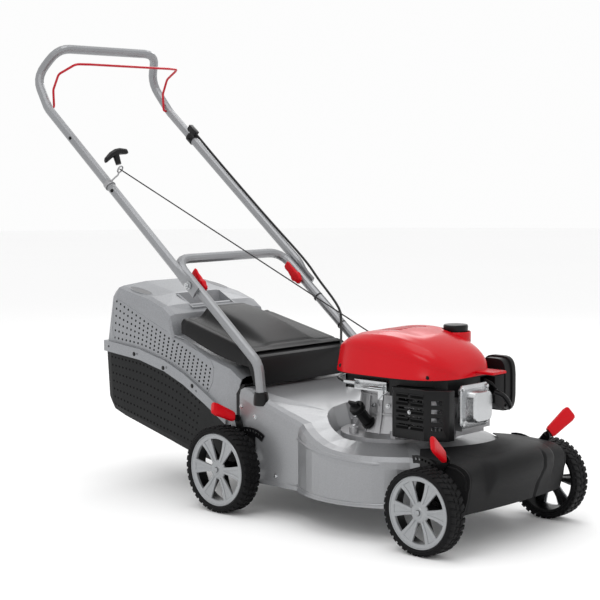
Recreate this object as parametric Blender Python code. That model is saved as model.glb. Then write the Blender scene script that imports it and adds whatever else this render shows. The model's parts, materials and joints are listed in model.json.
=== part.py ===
"""Petrol push lawn mower: round steel deck, four adjustable wheels, folding tube handle, hard grass catcher.

Metres, +Z up, ground at z = 0. -Y is the front of the mower, +Y the operator's end, +X the operator's left.
Lengths along Y are first counted from the front axle; the last lines move the whole mower so that the origin
lies under the middle of its bounding box.
"""

import math

import bmesh
import bpy
from mathutils import Matrix, Vector

# ---------------------------------------------------------------- driving sizes
WHEELBASE = 0.572
FRONT_WHEEL_R = 0.0877
REAR_WHEEL_R = 0.0968
FRONT_TYRE_W = 0.046
REAR_TYRE_W = 0.048
FRONT_HALF_TRACK = 0.240
REAR_HALF_TRACK = 0.247
BLADE_R = 0.210
DECK_CLEARANCE = 0.014
SKIRT_BOTTOM = 0.070
SHEET = 0.002
TUBE_R = 0.0112
LEG_HALF = 0.176
HINGE_BEHIND_AXLE = 0.136
HINGE_Z = 0.498
HANDLE_SLOPE = math.radians(38.8)
UPPER_RUN = 0.655
COWL_LENGTH = 0.300
COWL_HALF = 0.135
COWL_TOP = 0.425
CATCHER_LENGTH = 0.462
CATCHER_HALF = 0.162
CATCHER_TOP = 0.478
WALL = 0.0025
GAP = 0.0004

# ---------------------------------------------------------------- derived sizes
REAR_Y = WHEELBASE
DECK_R = BLADE_R + DECK_CLEARANCE + SHEET
DECK_Y = 0.43 * WHEELBASE
DECK_FRONT = -0.035
DECK_REAR = REAR_Y - 0.018
FRONT_HALF = 0.158
REAR_HALF = LEG_HALF + 0.010
BASE_Z = 0.184
HINGE_Y = REAR_Y + HINGE_BEHIND_AXLE
PLATE_X = LEG_HALF + TUBE_R + GAP
HANDLE_X = LEG_HALF + 2 * TUBE_R + 0.0012
SLOPE = Vector((0, math.cos(HANDLE_SLOPE), math.sin(HANDLE_SLOPE)))
RISE = Vector((0, -math.sin(HANDLE_SLOPE), math.cos(HANDLE_SLOPE)))
HINGE = Vector((0, HINGE_Y, HINGE_Z))
TUBE_LINE = HINGE + RISE * 0.006
FLAP_AXIS = Vector((0, REAR_Y - 0.028, 0.338))
MOUTH_Y = REAR_Y - 0.004
CRANK_R = 0.0125
AXLE_R = 0.006


# ---------------------------------------------------------------- tools
def clear_scene():
    for obj in list(bpy.data.objects):
        bpy.data.objects.remove(obj, do_unlink=True)


def material(name, rgb, roughness, metallic):
    mat = bpy.data.materials.new(name)
    mat.use_nodes = True
    shader = mat.node_tree.nodes["Principled BSDF"]
    shader.inputs["Base Color"].default_value = (*rgb, 1.0)
    shader.inputs["Roughness"].default_value = roughness
    shader.inputs["Metallic"].default_value = metallic
    mat.diffuse_color = (*rgb, 1.0)
    return mat


def loft(loops):
    """Closed body through equal loops of points, with both ends capped."""
    bm = bmesh.new()
    rings = [[bm.verts.new(p) for p in loop] for loop in loops]
    for low, high in zip(rings, rings[1:]):
        for i in range(len(low)):
            j = (i + 1) % len(low)
            bm.faces.new((low[i], low[j], high[j], high[i]))
    bm.faces.new(rings[0][::-1])
    bm.faces.new(rings[-1])
    bmesh.ops.recalc_face_normals(bm, faces=bm.faces)
    return bm


def prism(points, axis, low, high):
    """Polygon of 2D points carried along an axis: x takes (y, z), y takes (x, z), z takes (x, y)."""
    place = {
        "x": lambda a, b, c: (c, a, b),
        "y": lambda a, b, c: (a, c, b),
        "z": lambda a, b, c: (a, b, c),
    }[axis]
    return loft([[place(a, b, c) for a, b in points] for c in (low, high)])


def box(x0, x1, y0, y1, z0, z1):
    return prism([(x0, y0), (x1, y0), (x1, y1), (x0, y1)], "z", z0, z1)


def frame_along(direction, hint=(0.0, 0.0, 1.0)):
    d = Vector(direction).normalized()
    h = Vector(hint)
    if abs(d.dot(h)) > 0.99:
        h = Vector((1.0, 0.0, 0.0))
    side = d.cross(h).normalized()
    return side, side.cross(d).normalized()


def ellipse_loop(centre, u, v, a, b, sides, power=1.0):
    loop = []
    for i in range(sides):
        t = 2 * math.pi * (i + 0.5) / sides
        c, s = math.cos(t), math.sin(t)
        c = math.copysign(abs(c) ** power, c)
        s = math.copysign(abs(s) ** power, s)
        loop.append(Vector(centre) + u * a * c + v * b * s)
    return loop


def rod(start, end, radius, sides=16, end_radius=None):
    start, end = Vector(start), Vector(end)
    u, v = frame_along(end - start)
    last = radius if end_radius is None else end_radius
    return loft([ellipse_loop(start, u, v, radius, radius, sides),
                 ellipse_loop(end, u, v, last, last, sides)])


def beam(start, end, width, depth, hint=(0.0, 0.0, 1.0), end_width=None):
    """Square-edged bar; width lies across the hint, depth along it."""
    start, end = Vector(start), Vector(end)
    u, v = frame_along(end - start, hint)
    loops = []
    for p, w in ((start, width), (end, end_width or width)):
        loops.append([p + u * w / 2 * i + v * depth / 2 * j for i,
                      j in ((1, 1), (-1, 1), (-1, -1), (1, -1))])
    return loft(loops)


def turned(profile, centre, direction, segments, closed=True):
    """Revolved body. profile holds (radius, distance along the axis); a closed profile makes a ring."""
    bm = bmesh.new()
    u, v = frame_along(direction)
    d = Vector(direction).normalized()
    rings = []
    for radius, along in profile:
        mid = Vector(centre) + d * along
        if radius < 1e-7:
            rings.append([bm.verts.new(mid)] * segments)
        else:
            rings.append([bm.verts.new(p) for p in ellipse_loop(mid, u, v, radius, radius, segments)])
    pairs = list(zip(rings, rings[1:]))
    if closed:
        pairs.append((rings[-1], rings[0]))
    for low, high in pairs:
        for i in range(segments):
            j = (i + 1) % segments
            corners = []
            for vert in (low[i], low[j], high[j], high[i]):
                if vert not in corners:
                    corners.append(vert)
            if len(corners) > 2:
                bm.faces.new(corners)
    bmesh.ops.recalc_face_normals(bm, faces=bm.faces)
    return bm


def rounded_path(corners, radius, step=15.0):
    """Polyline with its inner corners turned into arcs, one point for each step in degrees."""
    points = [Vector(corners[0])]
    for a, b, c in zip(corners, corners[1:], corners[2:]):
        a, b, c = Vector(a), Vector(b), Vector(c)
        before, after = (a - b).normalized(), (c - b).normalized()
        angle = before.angle(after)
        steps = max(1, round((180 - math.degrees(angle)) / step))
        cut = min(radius / math.tan(angle / 2), 0.49 * (a - b).length, 0.49 * (c - b).length)
        start, end = b + before * cut, b + after * cut
        for i in range(steps + 1):
            t = i / steps
            points.append(start * (1 - t) ** 2 + b * 2 * t * (1 - t) + end * t ** 2)
    points.append(Vector(corners[-1]))
    return points


def smooth_path(corners, steps):
    """Catmull-Rom curve through the points."""
    pts = [Vector(p) for p in corners]
    pts = [pts[0] * 2 - pts[1]] + pts + [pts[-1] * 2 - pts[-2]]
    out = []
    for a, b, c, d in zip(pts, pts[1:], pts[2:], pts[3:]):
        for i in range(steps):
            t = i / steps
            out.append(0.5 * (2 * b + (c - a) * t + (2 * a - 5 * b + 4 * c - d) * t * t
                              + (3 * b - a - 3 * c + d) * t ** 3))
    out.append(pts[-2])
    return out


def swept(path, sizes, sides=12, hint=(1.0, 0.0, 0.0)):
    """Tube along a path; sizes gives (across the hint, along the hint) half sizes for each point."""
    loops = []
    side = Vector(hint)
    for i, p in enumerate(path):
        tangent = (path[min(i + 1, len(path) - 1)] - path[max(i - 1, 0)]).normalized()
        side = (side - tangent * side.dot(tangent)).normalized()
        other = tangent.cross(side)
        a, b = sizes(i) if callable(sizes) else (sizes, sizes)
        loops.append(ellipse_loop(p, side, other, b, a, sides))
    return loft(loops)


def cord(name, path, radius, mat, resolution):
    """Round cord as a bevelled curve with filled ends."""
    curve = bpy.data.curves.new(name, "CURVE")
    curve.dimensions = "3D"
    curve.bevel_depth = radius
    curve.bevel_resolution = resolution
    curve.use_fill_caps = True
    spline = curve.splines.new("POLY")
    spline.points.add(len(path) - 1)
    for point, p in zip(spline.points, path):
        point.co = (*p, 1.0)
    curve.materials.append(mat)
    obj = bpy.data.objects.new(name, curve)
    bpy.context.scene.collection.objects.link(obj)
    return obj


def to_object(name, bm):
    mesh = bpy.data.meshes.new(name)
    bm.to_mesh(mesh)
    bm.free()
    obj = bpy.data.objects.new(name, mesh)
    bpy.context.scene.collection.objects.link(obj)
    return obj


def solid(name, mat, add, cut=(), origin=(0, 0, 0), sharp=35, late=(), late_cut=()):
    """Joins the bodies in add, takes away those in cut, then does the same with the late ones, and names the result."""
    base = to_object(name, add[0])
    order = ((add[1:], "UNION"), (cut, "DIFFERENCE"), (late, "UNION"), (late_cut, "DIFFERENCE"))
    tools = [(to_object(name + "_tool", bm), operation) for bodies, operation in order for bm in bodies]
    for tool, operation in tools:
        modifier = base.modifiers.new("join", "BOOLEAN")
        modifier.operation = operation
        modifier.solver = "EXACT"
        modifier.object = tool
    if tools:
        graph = bpy.context.evaluated_depsgraph_get()
        mesh = bpy.data.meshes.new_from_object(base.evaluated_get(graph))
        base.modifiers.clear()
        base.data = mesh
        mesh.name = name
        for tool, _ in tools:
            bpy.data.objects.remove(tool, do_unlink=True)
    mesh = base.data
    tidy = bmesh.new()
    tidy.from_mesh(mesh)
    bmesh.ops.remove_doubles(tidy, verts=tidy.verts, dist=1e-5)
    bmesh.ops.dissolve_degenerate(tidy, edges=tidy.edges, dist=1e-6)
    bmesh.ops.dissolve_limit(tidy, angle_limit=0.002, verts=tidy.verts, edges=tidy.edges)
    tidy.to_mesh(mesh)
    tidy.free()
    mesh.materials.clear()
    mesh.materials.append(mat)
    mesh.transform(Matrix.Translation(-Vector(origin)))
    base.location = origin
    mesh.polygons.foreach_set("use_smooth", [True] * len(mesh.polygons))
    mesh.set_sharp_from_angle(angle=math.radians(sharp))
    return base


def lerp_table(table, t):
    """Straight-line reading of rows (position, value...) at t."""
    if t <= table[0][0]:
        return table[0][1:]
    for low, high in zip(table, table[1:]):
        if t <= high[0]:
            k = (t - low[0]) / (high[0] - low[0])
            return tuple(a + (b - a) * k for a, b in zip(low[1:], high[1:]))
    return table[-1][1:]


def ease(t):
    t = min(max(t, 0.0), 1.0)
    return t * t * (3 - 2 * t)


# ---------------------------------------------------------------- materials
clear_scene()
SILVER = material("silver_paint", (0.56, 0.57, 0.58), 0.35, 0.6)
GREY = material("dark_grey_plastic", (0.055, 0.056, 0.06), 0.45, 0.0)
BLACK = material("black_plastic", (0.012, 0.012, 0.013), 0.42, 0.0)
RED = material("red_plastic", (0.62, 0.012, 0.02), 0.25, 0.0)
BAIL_RED = material("bail_red", (0.52, 0.010, 0.035), 0.3, 0.1)
CATCHER_SILVER = material("silver_plastic", (0.42, 0.43, 0.44), 0.4, 0.15)
RUBBER = material("tyre_rubber", (0.022, 0.022, 0.024), 0.75, 0.0)
CAP_SILVER = material("hub_silver", (0.5, 0.51, 0.52), 0.38, 0.4)
ALUMINIUM = material("cast_aluminium", (0.52, 0.52, 0.52), 0.45, 0.9)
ZINC = material("zinc_plate", (0.62, 0.64, 0.64), 0.3, 0.9)
STEEL = material("steel", (0.45, 0.45, 0.46), 0.35, 1.0)
BLACK_STEEL = material("black_steel", (0.015, 0.015, 0.016), 0.35, 0.3)
ROPE = material("rope", (0.03, 0.03, 0.03), 0.8, 0.0)


# ---------------------------------------------------------------- deck
def deck_height(y):
    """Height of the deck's shoulder line from front to rear."""
    table = ((0.00, 0.176), (0.35, 0.178), (0.46, 0.184), (0.55, 0.199), (0.62, 0.214), (0.69, 0.226),
             (0.87, 0.260),
             (0.98, 0.288))
    return lerp_table(table, y / WHEELBASE)[0]


def deck_outline(grow):
    """Right-hand half of the plan outline and its mirror image, as one loop."""
    radius = DECK_R + grow
    front, rear = FRONT_HALF + grow, REAR_HALF + grow
    start = math.asin(min(front / radius, 0.999))
    end = math.pi - math.asin(min(rear / radius, 0.999))
    top = DECK_FRONT - grow
    back = DECK_REAR + grow
    half = [(0.0, top), (front * 0.45, top), (front - 0.03, top), (front - 0.009, top + 0.009),
            (front, top + 0.03),
            (front, top + 0.075)]
    for i in range(13):
        t = start + (end - start) * i / 12
        half.append((radius * math.sin(t), DECK_Y - radius * math.cos(t)))
    side = DECK_Y - radius * math.cos(end)
    half += [(rear, side + (back - side) * k) for k in (0.35, 0.7, 1.0)]
    half += [(rear * 0.6, back), (0.0, back)]
    return half + [(-x, y) for x, y in half[-2:0:-1]]


def skirt_bottom(y):
    """Height of the skirt's lip, which rises behind the front fascia."""
    return SKIRT_BOTTOM + 0.024 * ease((0.035 - y) / 0.05)


def deck_surface():
    """Open sheet of the deck, from the crankshaft hole out to the skirt's lip."""
    centre = Vector((0, DECK_Y))
    edge = [Vector(p) for p in deck_outline(0.0)]
    rings = []
    for radius, height in ((0.050, 0.0), (0.134, 0.0), (0.140, 0.001), (0.157, 1.0)):
        ring = []
        for p in edge:
            q = centre + (p - centre).normalized() * radius
            top = max(deck_height(q.y) + 0.008, BASE_Z + 0.008)
            ring.append((q.x, q.y, BASE_Z + (top - BASE_Z) * height))
        rings.append(ring)
    for inset, drop in ((0.030, -0.002), (0.012, 0.003), (0.003, 0.012), (0.0, 0.026)):
        ring = []
        for p in edge:
            q = p - (p - centre).normalized() * inset
            ring.append((q.x, q.y, deck_height(q.y) - drop))
        rings.append(ring)
    rings.append([(p.x, p.y, skirt_bottom(p.y) + 0.009) for p in edge])
    lip = [Vector(p) for p in deck_outline(0.004)]
    rings.append([(p.x, p.y, skirt_bottom(p.y)) for p in lip])
    return rings


def sheet_body(rings, thickness):
    """Closed sheet: the given surface and a copy set in by the thickness, joined along both rims."""
    bm = bmesh.new()
    grid = [[bm.verts.new(p) for p in ring] for ring in rings]
    for low, high in zip(grid, grid[1:]):
        for i in range(len(low)):
            j = (i + 1) % len(low)
            bm.faces.new((low[i], high[i], high[j], low[j]))
    bmesh.ops.recalc_face_normals(bm, faces=bm.faces)
    up = sum((f.normal.z for f in bm.faces))
    if up < 0:
        bmesh.ops.reverse_faces(bm, faces=bm.faces)
    bm.normal_update()
    outer = list(bm.faces)
    inner = {}
    for ring in grid:
        for vert in ring:
            inner[vert] = bm.verts.new(vert.co - vert.normal * thickness)
    for face in outer:
        bm.faces.new([inner[v] for v in reversed(face.verts)])
    for ring in (grid[0], grid[-1]):
        for i in range(len(ring)):
            a, b = ring[i], ring[(i + 1) % len(ring)]
            bm.faces.new((a, b, inner[b], inner[a]))
    bmesh.ops.recalc_face_normals(bm, faces=bm.faces)
    return bm


def build_deck():
    opening = box(-REAR_HALF + 0.016, REAR_HALF - 0.016, DECK_REAR - 0.02, DECK_REAR + 0.03,
                  SKIRT_BOTTOM + 0.03, deck_height(DECK_REAR) - 0.034)
    pivots = [rod((s * 0.1, y, z), (s * 0.25, y, z), 0.0072, 12)
              for s in (-1, 1) for y, z in (front_pivot(), rear_pivot())]
    return solid("deck", SILVER, [sheet_body(deck_surface(), SHEET)], [opening] + pivots, sharp=30)


# ---------------------------------------------------------------- wheels and height adjusters
def front_pivot():
    return 0.050, FRONT_WHEEL_R + 0.014


def rear_pivot():
    return REAR_Y - 0.050, REAR_WHEEL_R + 0.010


def build_wheel(tag, side, y, radius, width, half_track):
    outer = side * half_track
    axis = Vector((-side, 0, 0))
    centre = Vector((outer, y, radius))
    vertex_r = radius / math.cos(math.pi / 36)
    seat = radius * 0.845
    tyre = [(seat, 0.003), (vertex_r * 0.93, 0.0), (vertex_r * 0.975, 0.002), (vertex_r, 0.009),
            (vertex_r, width - 0.009), (vertex_r * 0.975, width - 0.002), (vertex_r * 0.93, width),
            (seat, width - 0.003)]
    solid("tyre_" + tag, RUBBER, [turned(tyre, centre, axis, 36)], origin=centre)
    rim_r = seat - GAP
    hub = 0.0155
    rim = [(AXLE_R + GAP, 0.0025), (hub - 0.001, 0.0025), (hub + 0.003, 0.0070), (rim_r * 0.90, 0.0035),
           (rim_r, 0.0045),
           (rim_r, width - 0.005), (rim_r - 0.006, width - 0.005), (rim_r * 0.88, 0.0140), (hub, 0.0145),
           (hub, width - 0.003), (AXLE_R + GAP, width - 0.003)]
    windows = []
    for k in range(6):
        a = math.radians(30 + 60 * k)
        loop = []
        for r, spread in ((0.34, 0), (0.44, 12), (0.80, 16), (0.845, 10), (0.845, -10), (0.80, -16),
                          (0.44, -12)):
            t = a + math.radians(spread)
            loop.append((y + rim_r * r * math.cos(t), radius + rim_r * r * math.sin(t)))
        windows.append(prism(loop, "x", outer, outer - side * 0.035))
    solid("rim_" + tag, CAP_SILVER, [turned(rim, centre, axis, 24)], windows, origin=centre)


def link_plate(points, radii, x0, x1):
    """Flat link through round ends; each length is a tapered bar with its round end."""
    bodies = []
    for (a, ra), (b, rb) in zip(zip(points, radii), zip(points[1:], radii[1:])):
        a, b = Vector(a), Vector(b)
        d = (b - a).normalized()
        turn = math.atan2(d.y, d.x)
        loop = []
        for i in range(9):
            t = turn + math.pi / 2 + math.pi * i / 8
            loop.append((a.x + ra * math.cos(t), a.y + ra * math.sin(t)))
        for i in range(9):
            t = turn - math.pi / 2 + math.pi * i / 8
            loop.append((b.x + rb * math.cos(t), b.y + rb * math.sin(t)))
        bodies.append(prism(loop, "x", x0, x1))
    return bodies


def build_adjuster(tag, side, pivot, axle, wheel_face, wall, head, lean, tip, face=None):
    """Quadrant on the deck, steel lever with its stub axle, and the red grip on the lever's bent end."""
    plate0 = wall + 0.0012
    plate1 = plate0 + 0.0022
    arm0 = plate1 + 0.0012
    arm1 = arm0 + 0.0035
    origin = Vector((side * arm0, pivot[0], pivot[1]))
    start = math.atan2(head[1] - pivot[1], head[0] - pivot[0])
    sweep = math.radians(46) * lean
    arc = []
    band = 0.078
    for k, r in ((0, band - 0.009), (1, band + 0.007)):
        steps = [start - lean * 0.10 + (sweep + lean * 0.20) * i / 7 for i in range(8)]
        ring = [(pivot[0] + r * math.cos(t), pivot[1] + r * math.sin(t)) for t in steps]
        arc += ring if k == 0 else ring[::-1]
    foot = link_plate([pivot, (pivot[0] + (band - 0.012) * math.cos(start + sweep / 2),
                               pivot[1] + (band - 0.012) * math.sin(start + sweep / 2))],
                      [0.015, 0.012], side * plate0, side * plate1)
    notches = []
    for i in range(8):
        t = start + sweep * i / 7
        mid = Vector((0, pivot[0] + band * math.cos(t), pivot[1] + band * math.sin(t)))
        notches.append(rod(mid + Vector((side * (plate0 - 0.002), 0, 0)),
                           mid + Vector((side * (plate1 + 0.002), 0, 0)),
                           0.0032, 6))
    bore = rod((side * (plate0 - 0.01), *pivot), (side * (plate1 + 0.01), *pivot), 0.0072, 12)
    solid("quadrant_" + tag, BLACK_STEEL, [prism(arc, "x", side * plate0, side * plate1)] + foot,
          notches + [bore])

    elbow = Vector((side * (arm0 + arm1) / 2, head[0], head[1]))
    arm = link_plate([axle, pivot], [0.011, 0.012], side * arm0, side * arm1)
    arm += link_plate([pivot, head], [0.012, 0.009], side * arm0, side * arm1)
    tip_at = Vector((side * tip[0], tip[1], tip[2]))
    out = (tip_at - elbow).normalized()
    flat = face or (0, -side * out.z, side * out.y)
    bend = elbow - out * 0.002
    tab_end = elbow + out * 0.034
    arm.append(beam(bend, tab_end, 0.0150, 0.0030, hint=flat))
    arm.append(rod((side * (wall - 0.008), *pivot), (side * arm1, *pivot), 0.0068, 12))
    arm.append(rod((side * arm0, *axle), (side * (wheel_face - 0.0035), *axle), AXLE_R, 16))
    solid("lever_" + tag, BLACK_STEEL, arm, origin=origin)

    u, v = frame_along(out, hint=flat)
    length = (tip_at - elbow).length
    loops = []
    for along, half, thick in ((0.010, 0.0110, 0.0050), (0.016, 0.0130, 0.0062), (0.035, 0.0140, 0.0066),
                               (length - 0.012, 0.0165, 0.0058), (length - 0.003, 0.0150, 0.0048),
                               (length, 0.0120, 0.0030)):
        loops.append(ellipse_loop(elbow + out * along, u, v, half, thick, 16, 0.55))
    slot = beam(bend, tab_end + out * GAP, 0.0150 + 2 * GAP, 0.0030 + 2 * GAP, hint=flat)
    solid("grip_" + tag, RED, [loft(loops)], [slot], origin=elbow)


def build_running_gear():
    front_axle = (0.0, FRONT_WHEEL_R)
    rear_axle = (REAR_Y, REAR_WHEEL_R)
    for tag, side in (("front_right", -1), ("front_left", 1)):
        build_wheel(tag, side, 0.0, FRONT_WHEEL_R, FRONT_TYRE_W, FRONT_HALF_TRACK)
        wall = FRONT_HALF + 0.0105
        head = (-0.022, 2 * FRONT_WHEEL_R + 0.013)
        tip = (FRONT_HALF_TRACK + 0.002, -0.040, 2 * FRONT_WHEEL_R + 0.059)
        build_adjuster(tag, side, front_pivot(), front_axle, FRONT_HALF_TRACK, wall, head, -1, tip,
                       face=(-side * 0.7, -0.7, 0.0))
    for tag, side in (("rear_right", -1), ("rear_left", 1)):
        build_wheel(tag, side, REAR_Y, REAR_WHEEL_R, REAR_TYRE_W, REAR_HALF_TRACK)
        wall = REAR_HALF
        head = (REAR_Y - 0.018, 2 * REAR_WHEEL_R + 0.014)
        tip = (REAR_HALF_TRACK + 0.002, REAR_Y + 0.006, 2 * REAR_WHEEL_R + 0.044)
        build_adjuster(tag, side, rear_pivot(), rear_axle, REAR_HALF_TRACK, wall, head, 1, tip)


# ---------------------------------------------------------------- front fascia
def fascia_section(x, inset):
    """Side profile of the nose at x: rear top, front top, front bottom, rear bottom, set in by the inset."""
    k = abs(x) / (FRONT_HALF + 0.010)
    nose = -0.102 + 0.010 * (k / 0.62) ** 2 if k < 0.65 else -0.080 + 0.003 * k
    chin = -0.071 + 0.010 * k ** 2
    crown = 0.1965 - 0.013 * k ** 2
    rear = 0.085 - 0.080 * (1 - min(k / 0.74, 1.0) ** 2)
    if k > 0.74:
        rear = 0.085 - 0.035 * (k - 0.74) / 0.26
    bottom = 0.078
    edge = crown - 0.017
    t = inset
    back = rear + (0.05 if t else 0.0)
    floor = bottom - (0.03 if t else 0.0)
    return [(back, crown - t), (nose + 0.034 + t, edge + 0.012 - t), (nose + 0.010 + t, edge + 0.004 - t),
            (nose + t, edge - 0.012), (chin - 0.010 + t, bottom + 0.035), (chin + t, floor), (back, floor)]


def build_fascia():
    half = FRONT_HALF + 0.010
    stations = [half * k for k in (-1, -0.96, -0.85, -0.74, -0.66, -0.64, -0.45, -0.22, 0, 0.22, 0.45,
                                   0.64, 0.66, 0.74, 0.85, 0.96,
                                   1)]
    outer = loft([[(x, *p) for p in fascia_section(x, 0.0)] for x in stations])
    shrink = (half - WALL) / half
    inner = loft([[(x * shrink, *p) for p in fascia_section(x, WALL)] for x in stations])
    pivots = [rod((s * 0.12, *front_pivot()), (s * 0.2, *front_pivot()), 0.0072, 12) for s in (-1, 1)]
    return solid("fascia", GREY, [outer], [inner] + pivots, sharp=28)


# ---------------------------------------------------------------- handle
def leg_point(along):
    """Point on the lower handle's leg line, measured up the slope from the hinge."""
    return HINGE + SLOPE * along


def deck_top(x, y):
    """Height of the deck's upper face at a point in plan; beside the deck, that of its shoulder."""
    x = max(min(x, REAR_HALF - 0.0015), 0.0015 - REAR_HALF)
    hit, place, _, _ = bpy.data.objects["deck"].ray_cast((x, y, 1.0), (0.0, 0.0, -1.0))
    return place.z if hit else deck_height(y)


def socket_foot():
    """Where the lower handle's legs end, just above the deck."""
    y = REAR_Y - 0.076
    uphill = max(deck_top(LEG_HALF - TUBE_R, y + TUBE_R), deck_top(LEG_HALF, y + TUBE_R))
    return y, uphill + 0.0025


def build_lower_handle():
    foot_y, foot_z = socket_foot()
    elbow = leg_point(-0.262)
    bow = leg_point(0.089)
    side = [(LEG_HALF, foot_y, foot_z), (LEG_HALF, *elbow[1:]), (LEG_HALF, *bow[1:])]
    path = rounded_path([(-x, y, z) for x, y, z in side] + side[::-1], 0.045)
    bolts = [rod((s * 0.10, *HINGE[1:]), (s * 0.25, *HINGE[1:]), 0.0036, 12) for s in (-1, 1)]
    solid("lower_handle", SILVER, [swept(path, TUBE_R, 12)], bolts)
    for tag, s in (("right", -1), ("left", 1)):
        base = [(s * LEG_HALF + a, foot_y + b) for a, b in
                ((0.0, -0.024), (0.0125, -0.014), (0.0155, 0.0), (0.0125, 0.014), (0.0, 0.024),
                 (-0.0125, 0.014),
                 (-0.0155, 0.0), (-0.0125, -0.014))]
        skirt = [(x, y, deck_top(x, y) + 0.0016) for x, y in base]
        brim = [(x, y, foot_z + 0.0090) for x, y in base]
        lid = [(s * LEG_HALF + (x - s * LEG_HALF) * 0.90, foot_y + (y - foot_y) * 0.72,
                foot_z + 0.0150) for x, y in base]
        tilt = Vector((0, elbow.y - foot_y, elbow.z - foot_z)).normalized()
        foot = Vector((s * LEG_HALF, foot_y, foot_z))
        well = rod(foot - tilt * 0.0005, foot + tilt * 0.05, TUBE_R + GAP, 16)
        drop = rod((s * LEG_HALF, foot_y, foot_z - 0.0005), (s * LEG_HALF, foot_y, foot_z + 0.006),
                   TUBE_R + GAP, 16)
        solid("socket_" + tag, BLACK, [loft([skirt, brim, lid])], [well, drop])


def tube_point(along):
    """Point on the upper handle's tube line, measured up the slope from the hinge."""
    return TUBE_LINE + SLOPE * along


def upper_side(side):
    """Corner points of one side of the upper handle, from its flat end up to the middle of the grip."""
    x_end = PLATE_X + 0.0042
    top = tube_point(UPPER_RUN)
    crest = top + SLOPE * 0.096 + RISE * 0.024
    grip = tube_point(UPPER_RUN + 0.100) + RISE * 0.112
    return [(side * x_end, *leg_point(-0.026)[1:]), (side * x_end, *leg_point(0.010)[1:]),
            (side * HANDLE_X, *tube_point(0.044)[1:]), (side * HANDLE_X, *top[1:]),
            (side * (HANDLE_X - 0.010), *crest[1:]), (side * (HANDLE_X - 0.040), *grip[1:])]


def upper_path():
    right = upper_side(-1)
    left = upper_side(1)
    return rounded_path(right + left[::-1], 0.052)


def build_upper_handle():
    path = upper_path()
    ends = (path[0], path[-1])

    def sizes(i):
        far = min((path[i] - ends[0]).length, (path[i] - ends[1]).length)
        flat = 1 - ease((far - 0.040) / 0.045)
        return TUBE_R - (TUBE_R - 0.0036) * flat, TUBE_R + 0.0045 * flat

    bolts = [rod((s * 0.10, *HINGE[1:]), (s * 0.25, *HINGE[1:]), 0.0036, 12) for s in (-1, 1)]
    pin = bail_axis()
    pins = [rod((s * (HANDLE_X - 0.03), *pin[1:]), (s * (HANDLE_X + 0.002), *pin[1:]), 0.0033,
                10) for s in (-1, 1)]
    return solid("upper_handle", SILVER, [swept(path, sizes, 12, hint=(0, 1, 0))], bolts + pins,
                 origin=HINGE)


def build_fold_joint():
    for tag, s in (("right", -1), ("left", 1)):
        inner = s * (LEG_HALF - TUBE_R - GAP)
        outer = s * (PLATE_X + 0.0100)
        axis = Vector((s, 0, 0))
        start = Vector((inner, *HINGE[1:]))
        stem = rod(start - axis * 0.0100, Vector((outer + s * 0.0100, *HINGE[1:])), 0.0031, 12)
        nut = turned([(0.0, 0.0), (0.0074, 0.0), (0.0074, 0.0068), (0.0, 0.0068)], (outer, *HINGE[1:]),
                     axis, 6, False)
        washer = rod((outer - s * 0.0012, *HINGE[1:]), (outer + s * 0.0006, *HINGE[1:]), 0.0090, 20)
        solid("fold_bolt_" + tag, ZINC, [stem, nut, washer])
        head = Vector((s * (abs(inner) - 0.0005), *HINGE[1:]))
        cam = rod(head, head - axis * 0.0125, 0.0120, 18)
        u = SLOPE
        blade = []
        for along, a, b in ((-0.020, 0.0030, 0.0065), (-0.016, 0.0050, 0.0095), (0.000, 0.0058, 0.0115),
                            (0.014, 0.0055, 0.0110),
                            (0.024, 0.0040, 0.0095), (0.036, 0.0036, 0.0105), (0.041, 0.0026, 0.0085)):
            lean = max(along, 0.0) / 0.041
            mid = head - axis * (0.0070 + 0.0035 * lean) + u * along + RISE * 0.005 * lean
            blade.append(ellipse_loop(mid, Vector((1, 0, 0)), RISE, a, b, 12, 0.6))
        eye = rod(head + axis * 0.001, head - axis * 0.0110, 0.0031 + GAP, 16)
        solid("cam_" + tag, RED, [cam, loft(blade)], [eye], origin=head)


def bail_axis():
    p = tube_point(UPPER_RUN + 0.002)
    return Vector((0, p.y, p.z))


def build_bail():
    pin = bail_axis()
    wire = 0.0030
    inner = HANDLE_X - TUBE_R - 0.004
    half = []
    for x, along, rise in ((HANDLE_X - 0.004, 0.0, 0.0), (inner - 0.004, 0.0, 0.0),
                           (inner - 0.004, 0.030, 0.034),
                           (inner - 0.006, 0.038, 0.076), (inner - 0.018, 0.010, 0.128),
                           (inner - 0.055, 0.003, 0.134)):
        half.append(Vector((x, *(pin + SLOPE * along + RISE * rise)[1:])))
    corners = [Vector((-p.x, p.y, p.z)) for p in half] + half[::-1]
    solid("bail", BAIL_RED, [swept(rounded_path(corners, 0.016, 20.0), wire, 8, hint=(0, 0, 1))],
          origin=pin)


def guide_foot():
    p = tube_point(0.355) + RISE * (TUBE_R + 0.0006)
    return Vector((-HANDLE_X, p.y, p.z))


def grip_seat():
    return guide_foot() + Vector((0.012, 0.004, 0.0)) + RISE * 0.036


def grip_axis():
    """Direction in which the starter grip leaves its eye."""
    return Vector((-0.10, 0.30, 0.95)).normalized()


def rope_line():
    seat = grip_seat()
    start = Vector((-0.030, DECK_Y + 0.056, COWL_TOP - 0.0200))
    return start, seat


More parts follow.
